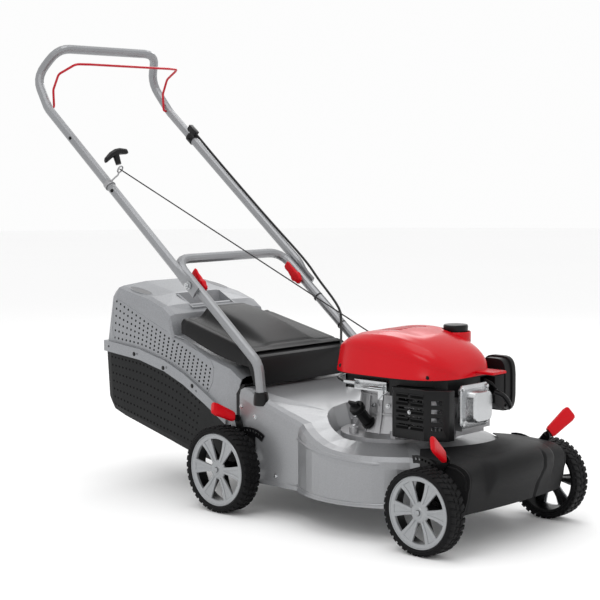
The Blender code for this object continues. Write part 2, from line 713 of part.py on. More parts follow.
def build_rope_guide():
    """Wire eye on the upper handle that holds the starter grip, with its clamp band round the tube."""
    foot = guide_foot()
    seat = grip_seat()
    start, _ = rope_line()
    along = (seat - start).normalized()
    u, v = frame_along(along)
    ring = [seat + u * 0.0085 * math.cos(t) + v * 0.0085 * math.sin(t)
            for t in [math.radians(-80 + 340 * i / 12) for i in range(13)]]
    stem = [foot + RISE * 0.001, foot + RISE * 0.012 + Vector((0.006, 0, 0)), seat - v * 0.016,
            seat - v * 0.011]
    wire = swept(smooth_path(stem, 3)[:-1] + ring, 0.0020, 8)
    centre = foot - RISE * (TUBE_R + 0.0006)
    band = turned([(TUBE_R + 0.0003, -0.006), (TUBE_R + 0.0022, -0.006), (TUBE_R + 0.0022, 0.006),
                   (TUBE_R + 0.0003, 0.006)], centre, SLOPE, 20)
    solid("rope_guide", STEEL, [band, wire])

    bar = Vector((0.95, 0.0, 0.31)).normalized()
    pull = grip_axis()
    top = seat + pull * 0.042
    depth = bar.cross(pull).normalized()
    cross = [ellipse_loop(top + bar * k * 0.036 - pull * 0.010 * k * k, depth, pull, a, b, 12, 0.8)
             for k, a, b in ((-1.0, 0.0035, 0.0040), (-0.9, 0.0070, 0.0065), (-0.4, 0.0085, 0.0080),
                             (0.0, 0.0090, 0.0085),
                             (0.4, 0.0085, 0.0080), (0.9, 0.0070, 0.0065), (1.0, 0.0035, 0.0040))]
    neck = rod(seat + pull * 0.0120, top, 0.0068, 14, 0.0085)
    solid("starter_grip", BLACK, [loft(cross), neck], origin=seat + pull * 0.0120)
    cord("starter_rope", [start + (seat + along * 0.001 - start) * (i / 24) for i in range(25)], 0.0016,
         ROPE, 2)


def cable_route():
    x = HANDLE_X
    out = RISE * (TUBE_R + 0.0042)
    points = [Vector((x, *(tube_point(UPPER_RUN - 0.125) + out * 1.15)[1:])),
              Vector((x, *(tube_point(0.40) + out)[1:])),
              Vector((x, *(tube_point(0.20) + out)[1:])), Vector((x, *(tube_point(0.04) + out * 1.15)[1:])),
              Vector((x - 0.008, *(leg_point(-0.04) + out * 1.45)[1:])),
              Vector((LEG_HALF + 0.004, *(leg_point(-0.140) + out * 1.3)[1:])),
              Vector((0.152, REAR_Y - 0.018, 0.384)), Vector((0.105, REAR_Y - 0.062, 0.346)),
              Vector((0.045, REAR_Y - 0.132, 0.322)), Vector((-0.025, DECK_Y + 0.132, 0.315)),
              Vector((-0.088, DECK_Y + 0.098, 0.311)), Vector((-0.1100, DECK_Y + 0.0625, 0.3066))]
    return smooth_path(points, 5)


def build_cable():
    cord("brake_cable", cable_route(), 0.0030, BLACK, 2)
    place = tube_point(UPPER_RUN - 0.115)
    body = Vector((HANDLE_X, place.y, place.z))
    band = turned([(TUBE_R + 0.0003, -0.010), (TUBE_R + 0.0028, -0.010), (TUBE_R + 0.0028, 0.010),
                   (TUBE_R + 0.0003, 0.010)], body, SLOPE, 20)
    top = body + RISE * (TUBE_R + 0.0010)
    housing = beam(top + SLOPE * 0.026 + RISE * 0.006, top - SLOPE * 0.006 + RISE * 0.006, 0.012, 0.014,
                   hint=RISE)
    screw = rod(body - Vector((TUBE_R + 0.0008, 0, 0)), body - Vector((TUBE_R + 0.0075, 0, 0)), 0.0042, 12)
    solid("cable_bracket", BLACK, [band, housing, screw])


# ---------------------------------------------------------------- rear flap and seal
def build_flap():
    half = CATCHER_HALF - 0.002
    hinge = FLAP_AXIS
    reach = 0.240
    loops = []
    for k in (0.0, 0.06, 0.3, 0.55, 0.8, 0.96, 1.0):
        y = hinge.y + 0.004 + reach * k
        base = hinge.z + 0.004 + 0.058 * k
        dome = 0.026 * math.sin(math.pi * min(k * 0.62, 1.0)) if k else 0.0
        w = half * (1 - 0.072 * k)
        skirt = 0.022 + 0.008 * math.sin(math.pi * min(k * 1.1, 1.0))
        outline = [(-w, base - skirt), (-w, base + 0.004), (-w + 0.008, base + 0.010),
                   (-w * 0.62, base + 0.013),
                   (-w * 0.45, base + 0.012 + dome * 0.7), (0.0, base + 0.013 + dome),
                   (w * 0.45, base + 0.012 + dome * 0.7),
                   (w * 0.62, base + 0.013), (w - 0.008, base + 0.010), (w, base + 0.004),
                   (w, base - skirt)]
        inner = [(x * (w - WALL) / w, z - WALL if abs(x) < w else z) for x, z in outline]
        loops.append([(x, y, z) for x, z in outline + inner[::-1]])
    knuckle = rod((-half + 0.002, hinge.y, hinge.z), (half - 0.002, hinge.y, hinge.z), 0.0072, 16)
    strap = box(-half + 0.004, half - 0.004, hinge.y - 0.001, hinge.y + 0.012, hinge.z + 0.002,
                hinge.z + 0.0105)
    bore = rod((-half - 0.01, hinge.y, hinge.z), (half + 0.01, hinge.y, hinge.z), 0.0031 + GAP, 12)
    solid("rear_flap", BLACK, [loft(loops), knuckle, strap], [bore], origin=hinge, sharp=30)

    front = hinge.y - 0.0105
    low = deck_height(front) + 0.0055
    top = hinge.z + 0.010
    wide = LEG_HALF - TUBE_R - 0.0015
    bar = [(front - 0.016, low), (front, low), (front, top - 0.002), (front - 0.004, top),
           (front - 0.013, top - 0.004),
           (front - 0.016, top - 0.012)]
    ears = [prism([(front - 0.004, low), (hinge.y + 0.007, hinge.z - 0.008),
                   (hinge.y + 0.007, hinge.z + 0.004),
                   (front - 0.004, top - 0.001)], "x", s * (half + 0.0006), s * wide) for s in (-1, 1)]
    pin = rod((-wide + 0.001, hinge.y, hinge.z), (wide - 0.001, hinge.y, hinge.z), 0.0030, 12)
    solid("flap_hinge", BLACK, [prism(bar, "x", -wide, wide)] + ears + [pin])

    y0 = DECK_REAR + SHEET
    top = deck_height(DECK_REAR) - 0.004
    side = REAR_HALF - 0.003
    seal_out = [(-side, 0.120), (-side, top - 0.020), (-side + 0.016, top), (side - 0.016, top),
                (side, top - 0.020),
                (side, 0.120)]
    seal_in = [(x * 0.955, z if z < 0.13 else z - 0.008) for x, z in seal_out]
    solid("rear_seal", BLACK, [prism(seal_out + seal_in[::-1], "y", y0, MOUTH_Y - GAP)])


# ---------------------------------------------------------------- grass catcher
def catcher_shape(k):
    """Half width, top, split and bottom heights at k along the length, 0 at the mouth and 1 at the rear."""
    top = CATCHER_TOP
    half, high, split, low = lerp_table((
        (0.00, 1.09, top - 0.184, 0.175, 0.105), (0.08, 1.08, top - 0.162, 0.186, 0.090),
        (0.24, 1.03, top - 0.145, 0.224, 0.087), (0.40, 1.000, top - 0.122, 0.261, 0.098),
        (0.50, 0.994, top - 0.108, 0.279, 0.110), (0.54, 0.992, top - 0.058, 0.286, 0.115),
        (0.60, 0.990, top - 0.040, 0.292, 0.122), (0.72, 0.985, top - 0.022, 0.305, 0.136),
        (0.88, 0.980, top - 0.008, 0.312, 0.155), (0.965, 0.970, top, 0.3155, 0.168),
        (1.00, 0.945, top - 0.012, 0.316, 0.184)), k)
    return half * CATCHER_HALF, high, split, low


STATIONS = (0.0, 0.08, 0.24, 0.40, 0.50, 0.54, 0.60, 0.72, 0.88, 0.965, 1.0)


def upper_section(k, inset, sink=0.0):
    half, high, split, _ = catcher_shape(k)
    w, top, r = half - inset, high - inset, 0.016
    crown = 0.007 * ease((k - 0.52) / 0.2)
    return [(-w, split - sink), (-w + 0.004, top - r), (-w + 0.010, top - 0.004), (-w + 0.024, top),
            (-w * 0.4, top + crown),
            (w * 0.4, top + crown), (w - 0.024, top), (w - 0.010, top - 0.004), (w - 0.004, top - r),
            (w, split - sink)]


def lower_section(k, inset, lift=0.0):
    half, _, split, low = catcher_shape(k)
    w, base, r = half - inset, low + inset, 0.020
    return [(w, split + lift), (w - 0.006, base + r), (w - 0.012, base + 0.005), (w - 0.026, base),
            (-w + 0.026, base),
            (-w + 0.012, base + 0.005), (-w + 0.006, base + r), (-w, split + lift)]


def catcher_y(k, z=CATCHER_TOP):
    """Place along the catcher; its rear face leans outwards towards the bottom."""
    lean = min((CATCHER_TOP - z) / (CATCHER_TOP - 0.33), 1.0)
    return MOUTH_Y + (CATCHER_LENGTH + 0.027 * lean) * k


def roof_height(y):
    k = (y - MOUTH_Y) / CATCHER_LENGTH
    return catcher_shape(k)[1] + 0.0065 * ease((k - 0.52) / 0.2)


def recess_loops(front, half, rise, low, narrow):
    """Floor and brim of the hand recess in plan; it narrows towards the floor."""
    rear = front + 0.058 + rise
    floor = [(-half + narrow, front), (half - narrow, front), (half - narrow, rear - 0.018),
             (-half + narrow, rear - 0.018)]
    brim = [(-half, front), (half, front), (half, rear), (-half, rear)]
    return [(x, y, low) for x, y in floor], [(x, y, roof_height(y) + rise) for x, y in brim]


def shell_loft(section, inset, sink, lean):
    """Space inside a half of the catcher: open at the mouth, closed at the rear."""
    loops = [[(x, MOUTH_Y - 0.02, z) for x, z in section(0.0, inset, sink)]]
    for k in (0.02,) + STATIONS[1:-1]:
        loops.append([(x, catcher_y(k, z), z) for x, z in section(k, inset, sink)])
    loops.append([(x * 0.985, catcher_y(1.0, z) - WALL, z + lean) for x, z in section(1.0, inset, sink)])
    return loft(loops)


def build_catcher():
    outer = loft([[(x, catcher_y(k, z), z) for x, z in upper_section(k, 0.0)] for k in STATIONS])
    band = []
    for k in STATIONS[1:]:
        half, _, split, _ = catcher_shape(k)
        y = catcher_y(k, split) + (0.006 if k == 1.0 else 0.0)
        band.append([(-half - 0.0055, y, split), (-half - 0.0055, y, split + 0.026),
                     (half + 0.0055, y, split + 0.026),
                     (half + 0.0055, y, split)])
    screws = []
    for k in (0.30, 0.52, 0.74, 0.965):
        half, _, split, _ = catcher_shape(k)
        for s in (-1, 1):
            at = Vector((s * (half + 0.0055), catcher_y(k, split), split + 0.013))
            screws.append(rod(at + Vector((s * 0.002, 0, 0)), at - Vector((s * 0.002, 0, 0)), 0.0032, 8))
    front = catcher_y(0.575)
    low = CATCHER_TOP - 0.084
    hole = loft(recess_loops(front - 0.001, 0.0690, 0.010, low, 0.003))
    cup_out = recess_loops(front - WALL, 0.072, 0.001, low - 0.003, 0.006)
    cup_in = recess_loops(front + 0.001, 0.067, 0.001, low, 0.006)
    cup = loft([cup_out[0], cup_out[1],
                [(x, y if y < front + 0.03 else y - 0.006, z) for x, y, z in cup_in[1]],
                [(x, y if y < front + 0.02 else y - 0.006, z) for x, y, z in cup_in[0]]])
    grip_z = roof_height(front + 0.016) - 0.012
    grip = rod((-0.068, front + 0.016, grip_z), (0.068, front + 0.016, grip_z), 0.008, 12)
    space = shell_loft(upper_section, WALL, 0.03, -0.004)
    solid("catcher_upper", CATCHER_SILVER, [outer, loft(band)], [space, hole] + screws, sharp=30,
          late=[cup, grip])

    outer = loft([[(x, catcher_y(k, z), z - 0.0005) for x, z in lower_section(k, 0.0)] for k in STATIONS])
    solid("catcher_lower", GREY, [outer], [shell_loft(lower_section, WALL, 0.03, 0.003)], sharp=30)


# ---------------------------------------------------------------- engine
def build_engine():
    y = DECK_Y
    base = BASE_Z + 0.0006
    case = turned([(CRANK_R + 0.0010, base), (0.128, base), (0.128, base + 0.010), (0.096, base + 0.016),
                   (0.084, base + 0.050), (0.080, base + 0.104), (CRANK_R + 0.0010, base + 0.104)],
                  (0, y, 0), (0, 0, 1), 28)
    neck = box(-0.050, 0.050, y - 0.118, y - 0.05, base + 0.018, base + 0.100)
    lugs = [rod((0.112 * math.cos(t), y + 0.112 * math.sin(t), base),
                (0.112 * math.cos(t), y + 0.112 * math.sin(t), base + 0.024),
                0.010, 12) for t in (math.radians(a) for a in (20, 100, 160, 215, 325))]
    solid("crankcase", ALUMINIUM, [case, neck] + lugs)

    front, rear = 0.034, y - 0.1185
    low, high = base + 0.024, base + 0.104
    comb = [(front, low + 0.012)]
    fins = 7
    pitch = (rear - front - 0.020) / fins
    for i in range(fins):
        a = front + 0.016 + pitch * i
        comb += [(a, low + 0.012), (a, low), (a + 0.0035, low), (a + 0.0035, low + 0.012)]
    comb += [(rear, low + 0.012), (rear, high - 0.012)]
    for i in reversed(range(fins)):
        a = front + 0.016 + pitch * i
        comb += [(a + 0.0035, high - 0.012), (a + 0.0035, high), (a, high), (a, high - 0.012)]
    comb.append((front, high - 0.012))
    solid("cylinder", ALUMINIUM, [prism(comb, "x", -0.050, 0.046)])

    cx, cz = -0.016, base + 0.088
    plate = prism([(cx + a, cz + b) for a,
                   b in ((-0.048, -0.036), (-0.040, -0.045), (0.040, -0.045), (0.048, -0.036),
                                                 (0.048, 0.036), (0.040, 0.045), (-0.040, 0.045),
                         (-0.048, 0.036))],
                  "y", front - 0.0065, front - 0.0005)
    cap = loft([ellipse_loop((cx + 0.002, front - d, cz - 0.001), Vector((1, 0, 0)), Vector((0, 0, 1)), a,
                             a, 24, 0.42)
                for d, a in ((0.005, 0.0335), (0.026, 0.0320), (0.0285, 0.0295))])
    screws = [rod((cx + a, front - 0.006, cz + b), (cx + a, front - 0.0105, cz + b), 0.0045, 6)
              for a in (-0.040, 0.040) for b in (-0.037, 0.037)]
    solid("valve_cover", ZINC, [plate, cap] + screws)

    near = -0.136
    plan = [(-0.0905, rear + 0.028), (near + 0.006, rear + 0.028), (near, rear + 0.020), (near, 0.066),
            (near + 0.028, 0.022),
            (-0.0905, 0.022)]
    inner = [(-0.08, rear + 0.028 - WALL), (near + 0.007, rear + 0.028 - WALL), (near + WALL, rear + 0.019),
             (near + WALL, 0.067), (near + 0.030, 0.022 + WALL), (-0.08, 0.022 + WALL)]
    z0, z1 = base + 0.024, base + 0.128
    guard = prism(plan, "z", z0, z1)
    slots = []
    for row in range(4):
        z = z0 + 0.022 + 0.0175 * row
        for y0, y1 in ((rear - 0.036, rear + 0.006), (rear - 0.086 + 0.003, rear - 0.044)):
            slots.append(box(near - 0.01, near + 0.010, max(y0, 0.071), y1, z, z + 0.0085))
        slots.append(beam((near + 0.014 - 0.014, 0.044 - 0.009, z + 0.004),
                          (near + 0.014 + 0.012, 0.044 + 0.0076, z + 0.004),
                          0.022, 0.0085))
    solid("muffler_guard", BLACK_STEEL, [guard], [prism(inner, "z", z0 + WALL, z1 - WALL)] + slots)
    solid("muffler", STEEL, [loft([ellipse_loop((x, (rear + 0.066) / 2, (z0 + z1) / 2), Vector((0, 1, 0)),
                                                Vector((0, 0, 1)), a, b,
                                                20, 0.5) for x, a, b in
                                   ((-0.0930, 0.030, 0.026), (-0.0980, 0.036, 0.032),
                                    (-0.1200, 0.036, 0.032),
                                    (-0.1255, 0.030, 0.026))]),
                             rod((-0.0945, 0.058, base + 0.07), (-0.0510, 0.058, base + 0.07), 0.010, 12)])

    ring_low, ring_high = base + 0.1048, base + 0.144
    outer = cowl_outline(0.020, -0.008)
    ring = prism(outer, "z", ring_low, ring_high)
    well = turned([(0.0, ring_low + 0.004), (0.0780, ring_low + 0.004), (0.0780, ring_high + 0.01),
                   (0.0, ring_high + 0.01)],
                  (0, y, 0), (0, 0, 1), 32, False)
    hole = turned([(0.0, ring_low - 0.01), (0.030, ring_low - 0.01), (0.030, ring_low + 0.02),
                   (0.0, ring_low + 0.02)],
                  (0, y, 0), (0, 0, 1), 20, False)
    relief = box(-0.2, -0.0885, -0.02, rear + 0.0295, ring_low - 0.01, z1 + 0.0012)
    front_cut = box(-0.2, 0.2, -0.1, 0.058, ring_low - 0.01, ring_high + 0.01)
    side_cut = box(-0.2, -0.0812, y - 0.070, y + 0.080, ring_low - 0.01, ring_high + 0.01)
    port = box(0.045, 0.2, -0.1, 0.092, ring_low - 0.01, ring_high + 0.01)
    solid("blower_housing", BLACK, [ring], [well, hole, relief, front_cut, side_cut, port])

    spine = [Vector((-0.076, y + 0.008, base + 0.026)), Vector((-0.098, y + 0.012, base + 0.044)),
             Vector((-0.115, y + 0.015, base + 0.064))]
    solid("oil_tube", BLACK, [swept(spine, 0.0125, 14, hint=(0, 1, 0)),
                              rod((-0.0865, y + 0.0095, base + 0.0345),
                                  (-0.0910, y + 0.0105, base + 0.0385), 0.0165, 14)],
          [turned([(0.0, base), (0.0965, base), (0.0965, base + 0.0165), (0.0848, base + 0.0505),
                   (0.0808, base + 0.100),
                   (0.0, base + 0.100)], (0, y, 0), (0, 0, 1), 28, False),
           rod(spine[2] - (spine[2] - spine[1]) * 0.35, spine[2] + (spine[2] - spine[1]) * 0.5, 0.0080,
               12)])
    axis = (spine[2] - spine[1]).normalized()
    mouth = spine[2] + axis * GAP
    cap = turned([(0.0, -0.009), (0.0074, -0.009), (0.0074, 0.0), (0.0160, 0.0), (0.0170, 0.002),
                  (0.0170, 0.011), (0.0150, 0.014),
                  (0.0, 0.014)], mouth, axis, 20, False)
    u, v = frame_along(axis)
    wing = beam(mouth + axis * 0.012, mouth + axis * 0.026, 0.030, 0.0050, hint=v)
    solid("oil_dipstick", BLACK, [cap, wing], origin=mouth)

    face = -0.1035
    at = y - 0.024
    plate = box(face - 0.0025, face, at - 0.030, at + 0.060, base + 0.108, base + 0.128)
    tongue = box(face - 0.0025, -0.0820, at - 0.030, at + 0.060, base + 0.1270, base + 0.1295)
    barrel = rod((face - 0.0060, at + 0.052, base + 0.122), (face - 0.0060, at + 0.084, base + 0.122),
                 0.0050, 12)
    spring = rod((face - 0.0052, at - 0.024, base + 0.116), (face - 0.0052, at + 0.030, base + 0.116),
                 0.0035, 10)
    lever = beam((face - 0.004, at - 0.016, base + 0.124), (face - 0.004, at - 0.016, base + 0.092), 0.014,
                 0.003,
                 hint=(1, 0, 0))
    solid("brake_bracket", ZINC, [plate, barrel, spring, lever, tongue])


def cowl_rows():
    """Rows along the cowl: position, near half width, far half width, shoulder height, crown height."""
    c, t = COWL_HALF, COWL_TOP
    return [(k, a * c, b * c, t - s, t - r) for k, a, b, s, r in (
        (0.000, 0.42, 0.34, 0.092, 0.082), (0.028, 0.62, 0.46, 0.082, 0.062),
                                                                  (0.10, 0.82, 0.60, 0.073, 0.040),
        (0.22, 0.94, 0.68, 0.062, 0.020), (0.36, 0.99, 0.88, 0.053, 0.006), (0.52, 1.00, 0.97, 0.046, 0.0),
        (0.68, 1.00, 0.98, 0.041, 0.002), (0.84, 0.96, 0.93, 0.041, 0.010),
                                                                  (0.95, 0.84, 0.80, 0.048, 0.024),
        (0.985, 0.76, 0.72, 0.056, 0.036), (1.0, 0.66, 0.62, 0.066, 0.052))]


def cowl_y(k):
    return DECK_Y + 0.094 - COWL_LENGTH * (1 - k)


def cowl_outline(inset, shift):
    rows = cowl_rows()
    near = [(-(a - inset), cowl_y(k) + shift * (k - 0.5) * 2) for k, a, _, _, _ in rows]
    far = [(b - inset, cowl_y(k) + shift * (k - 0.5) * 2) for k, _, b, _, _ in rows]
    return near + far[::-1]


COWL_BASE = BASE_Z + 0.1460


def cowl_section(row, inset):
    _, near, far, shoulder, crown = row
    near, far, shoulder, crown = near - inset, far - inset, shoulder - inset, crown - inset
    base = COWL_BASE - (0.02 if inset else 0.0)
    points = [(-near, base), (-near * 0.965, (COWL_BASE + shoulder) / 2), (-near * 0.90, shoulder)]
    for i in range(1, 8):
        t = math.pi * i / 8
        c = -math.cos(t)
        w = near if c < 0 else far
        points.append((w * 0.90 * c, shoulder + (crown - shoulder) * math.sin(t) ** 0.7))
    return points + [(far * 0.90, shoulder), (far * 0.965, (COWL_BASE + shoulder) / 2), (far, base)]


def build_cowl():
    rows = cowl_rows()
    outer = loft([[(x, cowl_y(row[0]), z) for x, z in cowl_section(row, 0.0)] for row in rows])
    hollow = []
    for row in rows:
        y = cowl_y(row[0])
        y += WALL if row[0] == 0.0 else (-WALL if row[0] == 1.0 else 0.0)
        hollow.append([(x, y, z) for x, z in cowl_section(row, WALL)])
    tongue = box(0.004, 0.052, cowl_y(0.0) - 0.046, cowl_y(0.0) + 0.012, COWL_TOP - 0.089, COWL_TOP - 0.083)
    neck = tank_neck()
    cup = rod((neck.x, neck.y, COWL_TOP - 0.0360), (neck.x, neck.y, COWL_TOP - 0.0260), 0.0330, 24)
    dish = rod((neck.x, neck.y, COWL_TOP - 0.0335), (neck.x, neck.y, COWL_TOP + 0.05), 0.0305, 24)
    hole = rod((neck.x, neck.y, 0.33), (neck.x, neck.y, COWL_TOP + 0.05), 0.0195, 20)
    start, seat = rope_line()
    pull = (seat - start).normalized()
    rope = rod(start - pull * 0.030, start + pull * 0.060, 0.0045, 12)
    vents = []
    for i in range(6):
        x = -0.040 + 0.016 * i
        vents.append(box(x - 0.0035, x + 0.0035, DECK_Y - 0.040, DECK_Y + 0.014, COWL_TOP - 0.03,
                         COWL_TOP + 0.02))
    solid("cowl", RED, [outer], [loft(hollow)] + vents, sharp=30, late=[tongue, cup],
          late_cut=[dish, hole, rope])


def tank_neck():
    return Vector((0.072, cowl_y(0.0) + 0.106, 0))


def build_top_parts():
    neck = tank_neck()
    base = COWL_BASE + 0.001
    y0 = cowl_y(0.0) + 0.020
    y1 = DECK_Y - 0.0975
    plan = [(-0.040, y0 + 0.012), (0.058, y0 + 0.012), (0.076, y0 + 0.035), (0.094, y0 + 0.080),
            (0.094, neck.y + 0.022),
            (0.062, neck.y + 0.022), (0.048, y1), (-0.062, y1), (-0.062, y0 + 0.032)]
    tank = loft([[(x, y, base) for x, y in plan],
                 [(x * 0.92, y + (neck.y - y) * 0.06, base + 0.028) for x, y in plan]])
    pipe = rod((neck.x, neck.y, base + 0.01), (neck.x, neck.y, COWL_TOP - 0.0255), 0.0180, 20)
    well = rod((neck.x, neck.y, COWL_TOP - 0.045), (neck.x, neck.y, COWL_TOP - 0.01), 0.0145, 20)
    solid("fuel_tank", BLACK, [tank, pipe], [well])
    z = COWL_TOP - 0.0255 + GAP
    profile = [(0.0, -0.012), (0.0135, -0.012), (0.0135, 0.0), (0.0240, 0.0), (0.0250, 0.003),
               (0.0262, 0.006), (0.0270, 0.023),
               (0.0255, 0.0265), (0.0, 0.0275)]
    solid("fuel_cap", BLACK, [turned(profile, (neck.x, neck.y, z), (0, 0, 1), 28, False)],
          origin=(neck.x, neck.y, z))

    x0 = 0.1000
    mid = Vector((0, cowl_y(0.0) + 0.029, COWL_BASE - 0.029))
    half_y, half_z = 0.040, 0.060
    u, v = Vector((0, 1, 0)), Vector((0, 0, 1))
    cover = [ellipse_loop((x, mid.y, mid.z), u, v, a, b, 24, 0.5) for x, a, b in
             ((x0, half_y - 0.004, half_z - 0.004), (x0 + 0.020, half_y - 0.004, half_z - 0.004),
              (x0 + 0.0202, half_y, half_z),
              (x0 + 0.032, half_y, half_z), (x0 + 0.0345, half_y - 0.003, half_z - 0.003))]
    dish = [ellipse_loop((x, mid.y, mid.z), u, v, half_y - d, half_z - d, 24, 0.5) for x, d in
            ((x0 + 0.028, 0.010), (x0 + 0.040, 0.0075))]
    solid("air_cleaner_cover", BLACK, [loft(cover)], [loft(dish)])
    back = loft([[(x, mid.y - a, mid.z - b), (x, mid.y + a, mid.z - b), (x, mid.y + a, mid.z + c),
                  (x, mid.y - a, mid.z + c)]
                 for x, a, b, c in ((x0 - 0.0004, half_y - 0.006, half_z - 0.006, 0.024),
                                    (0.070, half_y - 0.010, half_z - 0.024, 0.022))])
    horn = rod((0.072, mid.y + 0.006, mid.z - 0.008), (0.0475, mid.y + 0.006, mid.z - 0.008), 0.012, 16)
    solid("air_cleaner_base", BLACK, [back, horn])

    hose = smooth_path([(0.034, 0.012, mid.z - 0.004), (0.040, -0.006, mid.z - 0.012),
                        (0.052, -0.012, mid.z - 0.030),
                        (0.066, 0.000, mid.z - 0.040), (0.0790, 0.018, mid.z - 0.040),
                        (0.0790, 0.030, mid.z - 0.042)], 4)
    solid("breather_hose", BLACK, [swept(hose[:-5], 0.0055, 10, hint=(0, 0, 1))])


# ---------------------------------------------------------------- rotating parts
def build_rotor():
    y = DECK_Y
    base = BASE_Z
    shaft = [(0.0, 0.0800), (0.0115, 0.0800), (0.0125, 0.0885), (0.0220, 0.0885), (0.0220, 0.0938),
             (CRANK_R, 0.0938),
             (CRANK_R, 0.0990), (0.0270, 0.0990), (0.0290, 0.1190), (0.0200, 0.1230), (0.0200, 0.1330),
             (CRANK_R, 0.1340),
             (CRANK_R, base + 0.1300), (0.0090, base + 0.1340), (0.0070, base + 0.1660),
             (0.0, base + 0.1660)]
    solid("crankshaft", STEEL, [turned(shaft, (0, y, 0), (0, 0, 1), 16, False)], origin=(0, y, base))
    half = []
    for r, front, rear, lift in ((0.0, -0.026, 0.026, 0.0), (0.10, -0.026, 0.026, 0.0),
                                 (0.135, -0.026, 0.026, 0.0),
                                 (0.17, -0.026, 0.030, 0.016), (BLADE_R * 0.94, -0.024, 0.030, 0.020),
                                 (BLADE_R * 0.995, -0.020, 0.027, 0.021)):
        half.append((r, front, rear, lift))
    full = [(-r, -rear, -front, lift) for r, front, rear, lift in half[:0:-1]] + half
    loops = []
    for r, front, rear, lift in full:
        low, high = (0.0, lift) if r >= 0 else (lift, 0.0)
        z = 0.0945
        loops.append([(r, y + front, z + low), (r, y + rear, z + high), (r, y + rear, z + high + 0.0036),
                      (r, y + front, z + low + 0.0036)])
    bore = rod((0, y, 0.05), (0, y, 0.16), CRANK_R + GAP, 24)
    solid("blade", STEEL, [loft(loops)], [bore], origin=(0, y, 0.0945))
    teeth = []
    for i in range(24):
        t = 2 * math.pi * i / 24
        r = 0.0760 if i % 2 else 0.0670
        for d in (-0.045, 0.045):
            teeth.append((r * math.cos(t + d), y + r * math.sin(t + d)))
    z0 = base + 0.1135
    solid("flywheel", ALUMINIUM, [turned([(CRANK_R + GAP, z0), (0.0640, z0), (0.0640, z0 + 0.014),
                                          (CRANK_R + GAP, z0 + 0.014)],
                                         (0, y, 0), (0, 0, 1), 24), fan_ring(teeth, z0 + 0.010, z0 + 0.030,
                                                                            y)], origin=(0, y, z0))


def fan_ring(teeth, z0, z1, y):
    """Toothed fan ring that is open in the middle."""
    count = len(teeth)
    inner = [(0.050 * math.cos(2 * math.pi * i / count - 0.045),
              y + 0.050 * math.sin(2 * math.pi * i / count - 0.045))
             for i in range(count)]
    bm = bmesh.new()
    rows = [[bm.verts.new((a, b, z)) for a, b in ring] for ring, z in
            ((teeth, z0), (teeth, z1), (inner, z1), (inner, z0))]
    for low, high in zip(rows, rows[1:] + rows[:1]):
        for i in range(count):
            j = (i + 1) % count
            bm.faces.new((low[i], low[j], high[j], high[i]))
    bmesh.ops.recalc_face_normals(bm, faces=bm.faces)
    return bm


# ---------------------------------------------------------------- build
build_deck()
build_running_gear()
build_fascia()
build_lower_handle()
build_upper_handle()
build_fold_joint()
build_bail()
build_rope_guide()
build_cable()
build_flap()
build_catcher()
build_engine()
build_cowl()
build_top_parts()
build_rotor()

MIDDLE = 0.5861
for placed in bpy.data.objects:
    placed.location.y -= MIDDLE
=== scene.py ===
import json
import math

import bmesh
import bpy
from mathutils import Matrix, Vector
from mathutils.bvhtree import BVHTree

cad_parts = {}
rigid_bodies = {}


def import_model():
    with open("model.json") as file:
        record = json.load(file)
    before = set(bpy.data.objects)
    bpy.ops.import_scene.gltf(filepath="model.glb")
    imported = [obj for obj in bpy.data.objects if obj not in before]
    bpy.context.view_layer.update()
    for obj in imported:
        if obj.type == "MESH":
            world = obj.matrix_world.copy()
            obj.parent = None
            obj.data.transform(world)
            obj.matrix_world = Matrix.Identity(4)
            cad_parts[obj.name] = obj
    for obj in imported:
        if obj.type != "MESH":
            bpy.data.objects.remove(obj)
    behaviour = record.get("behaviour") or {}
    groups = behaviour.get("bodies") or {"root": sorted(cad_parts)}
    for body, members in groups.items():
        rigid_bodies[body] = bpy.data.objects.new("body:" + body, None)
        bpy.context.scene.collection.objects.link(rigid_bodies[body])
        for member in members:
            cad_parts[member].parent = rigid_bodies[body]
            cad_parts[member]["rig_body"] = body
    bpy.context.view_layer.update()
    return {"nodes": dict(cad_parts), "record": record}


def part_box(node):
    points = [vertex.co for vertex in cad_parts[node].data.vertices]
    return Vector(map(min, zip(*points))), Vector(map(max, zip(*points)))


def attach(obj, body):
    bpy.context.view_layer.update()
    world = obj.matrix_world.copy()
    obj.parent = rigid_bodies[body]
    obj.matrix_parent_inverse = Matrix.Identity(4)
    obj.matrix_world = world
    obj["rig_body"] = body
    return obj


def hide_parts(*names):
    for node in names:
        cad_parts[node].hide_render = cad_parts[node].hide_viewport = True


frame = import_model()
nodes = frame["nodes"]

# Everything is in metres. -Y is the cutting end, +Y the operator's end, +X the left side.
X, Y, Z = Vector((1, 0, 0)), Vector((0, 1, 0)), Vector((0, 0, 1))
RIGHT, LEFT = -1, 1
SIDE_NAME = {RIGHT: "right", LEFT: "left"}
OUTSIDE = 0.4  # where a ray at the mower's side starts, out from the middle

# ---------------------------------------------------------------- camera, light, floor
CAMERA_AT = (-2.50746, -2.44196, 0.78132)
CAMERA_YAW, CAMERA_PITCH, CAMERA_ROLL = -0.82597, 0.08591, -0.0043
FOCAL_MM, SENSOR_MM = 90.58, 36
LENS_SHIFT = (-0.0465, -0.0159)
FLOOR_R = 14
FLOOR_Z = -0.0004
BACKDROP = 0.98


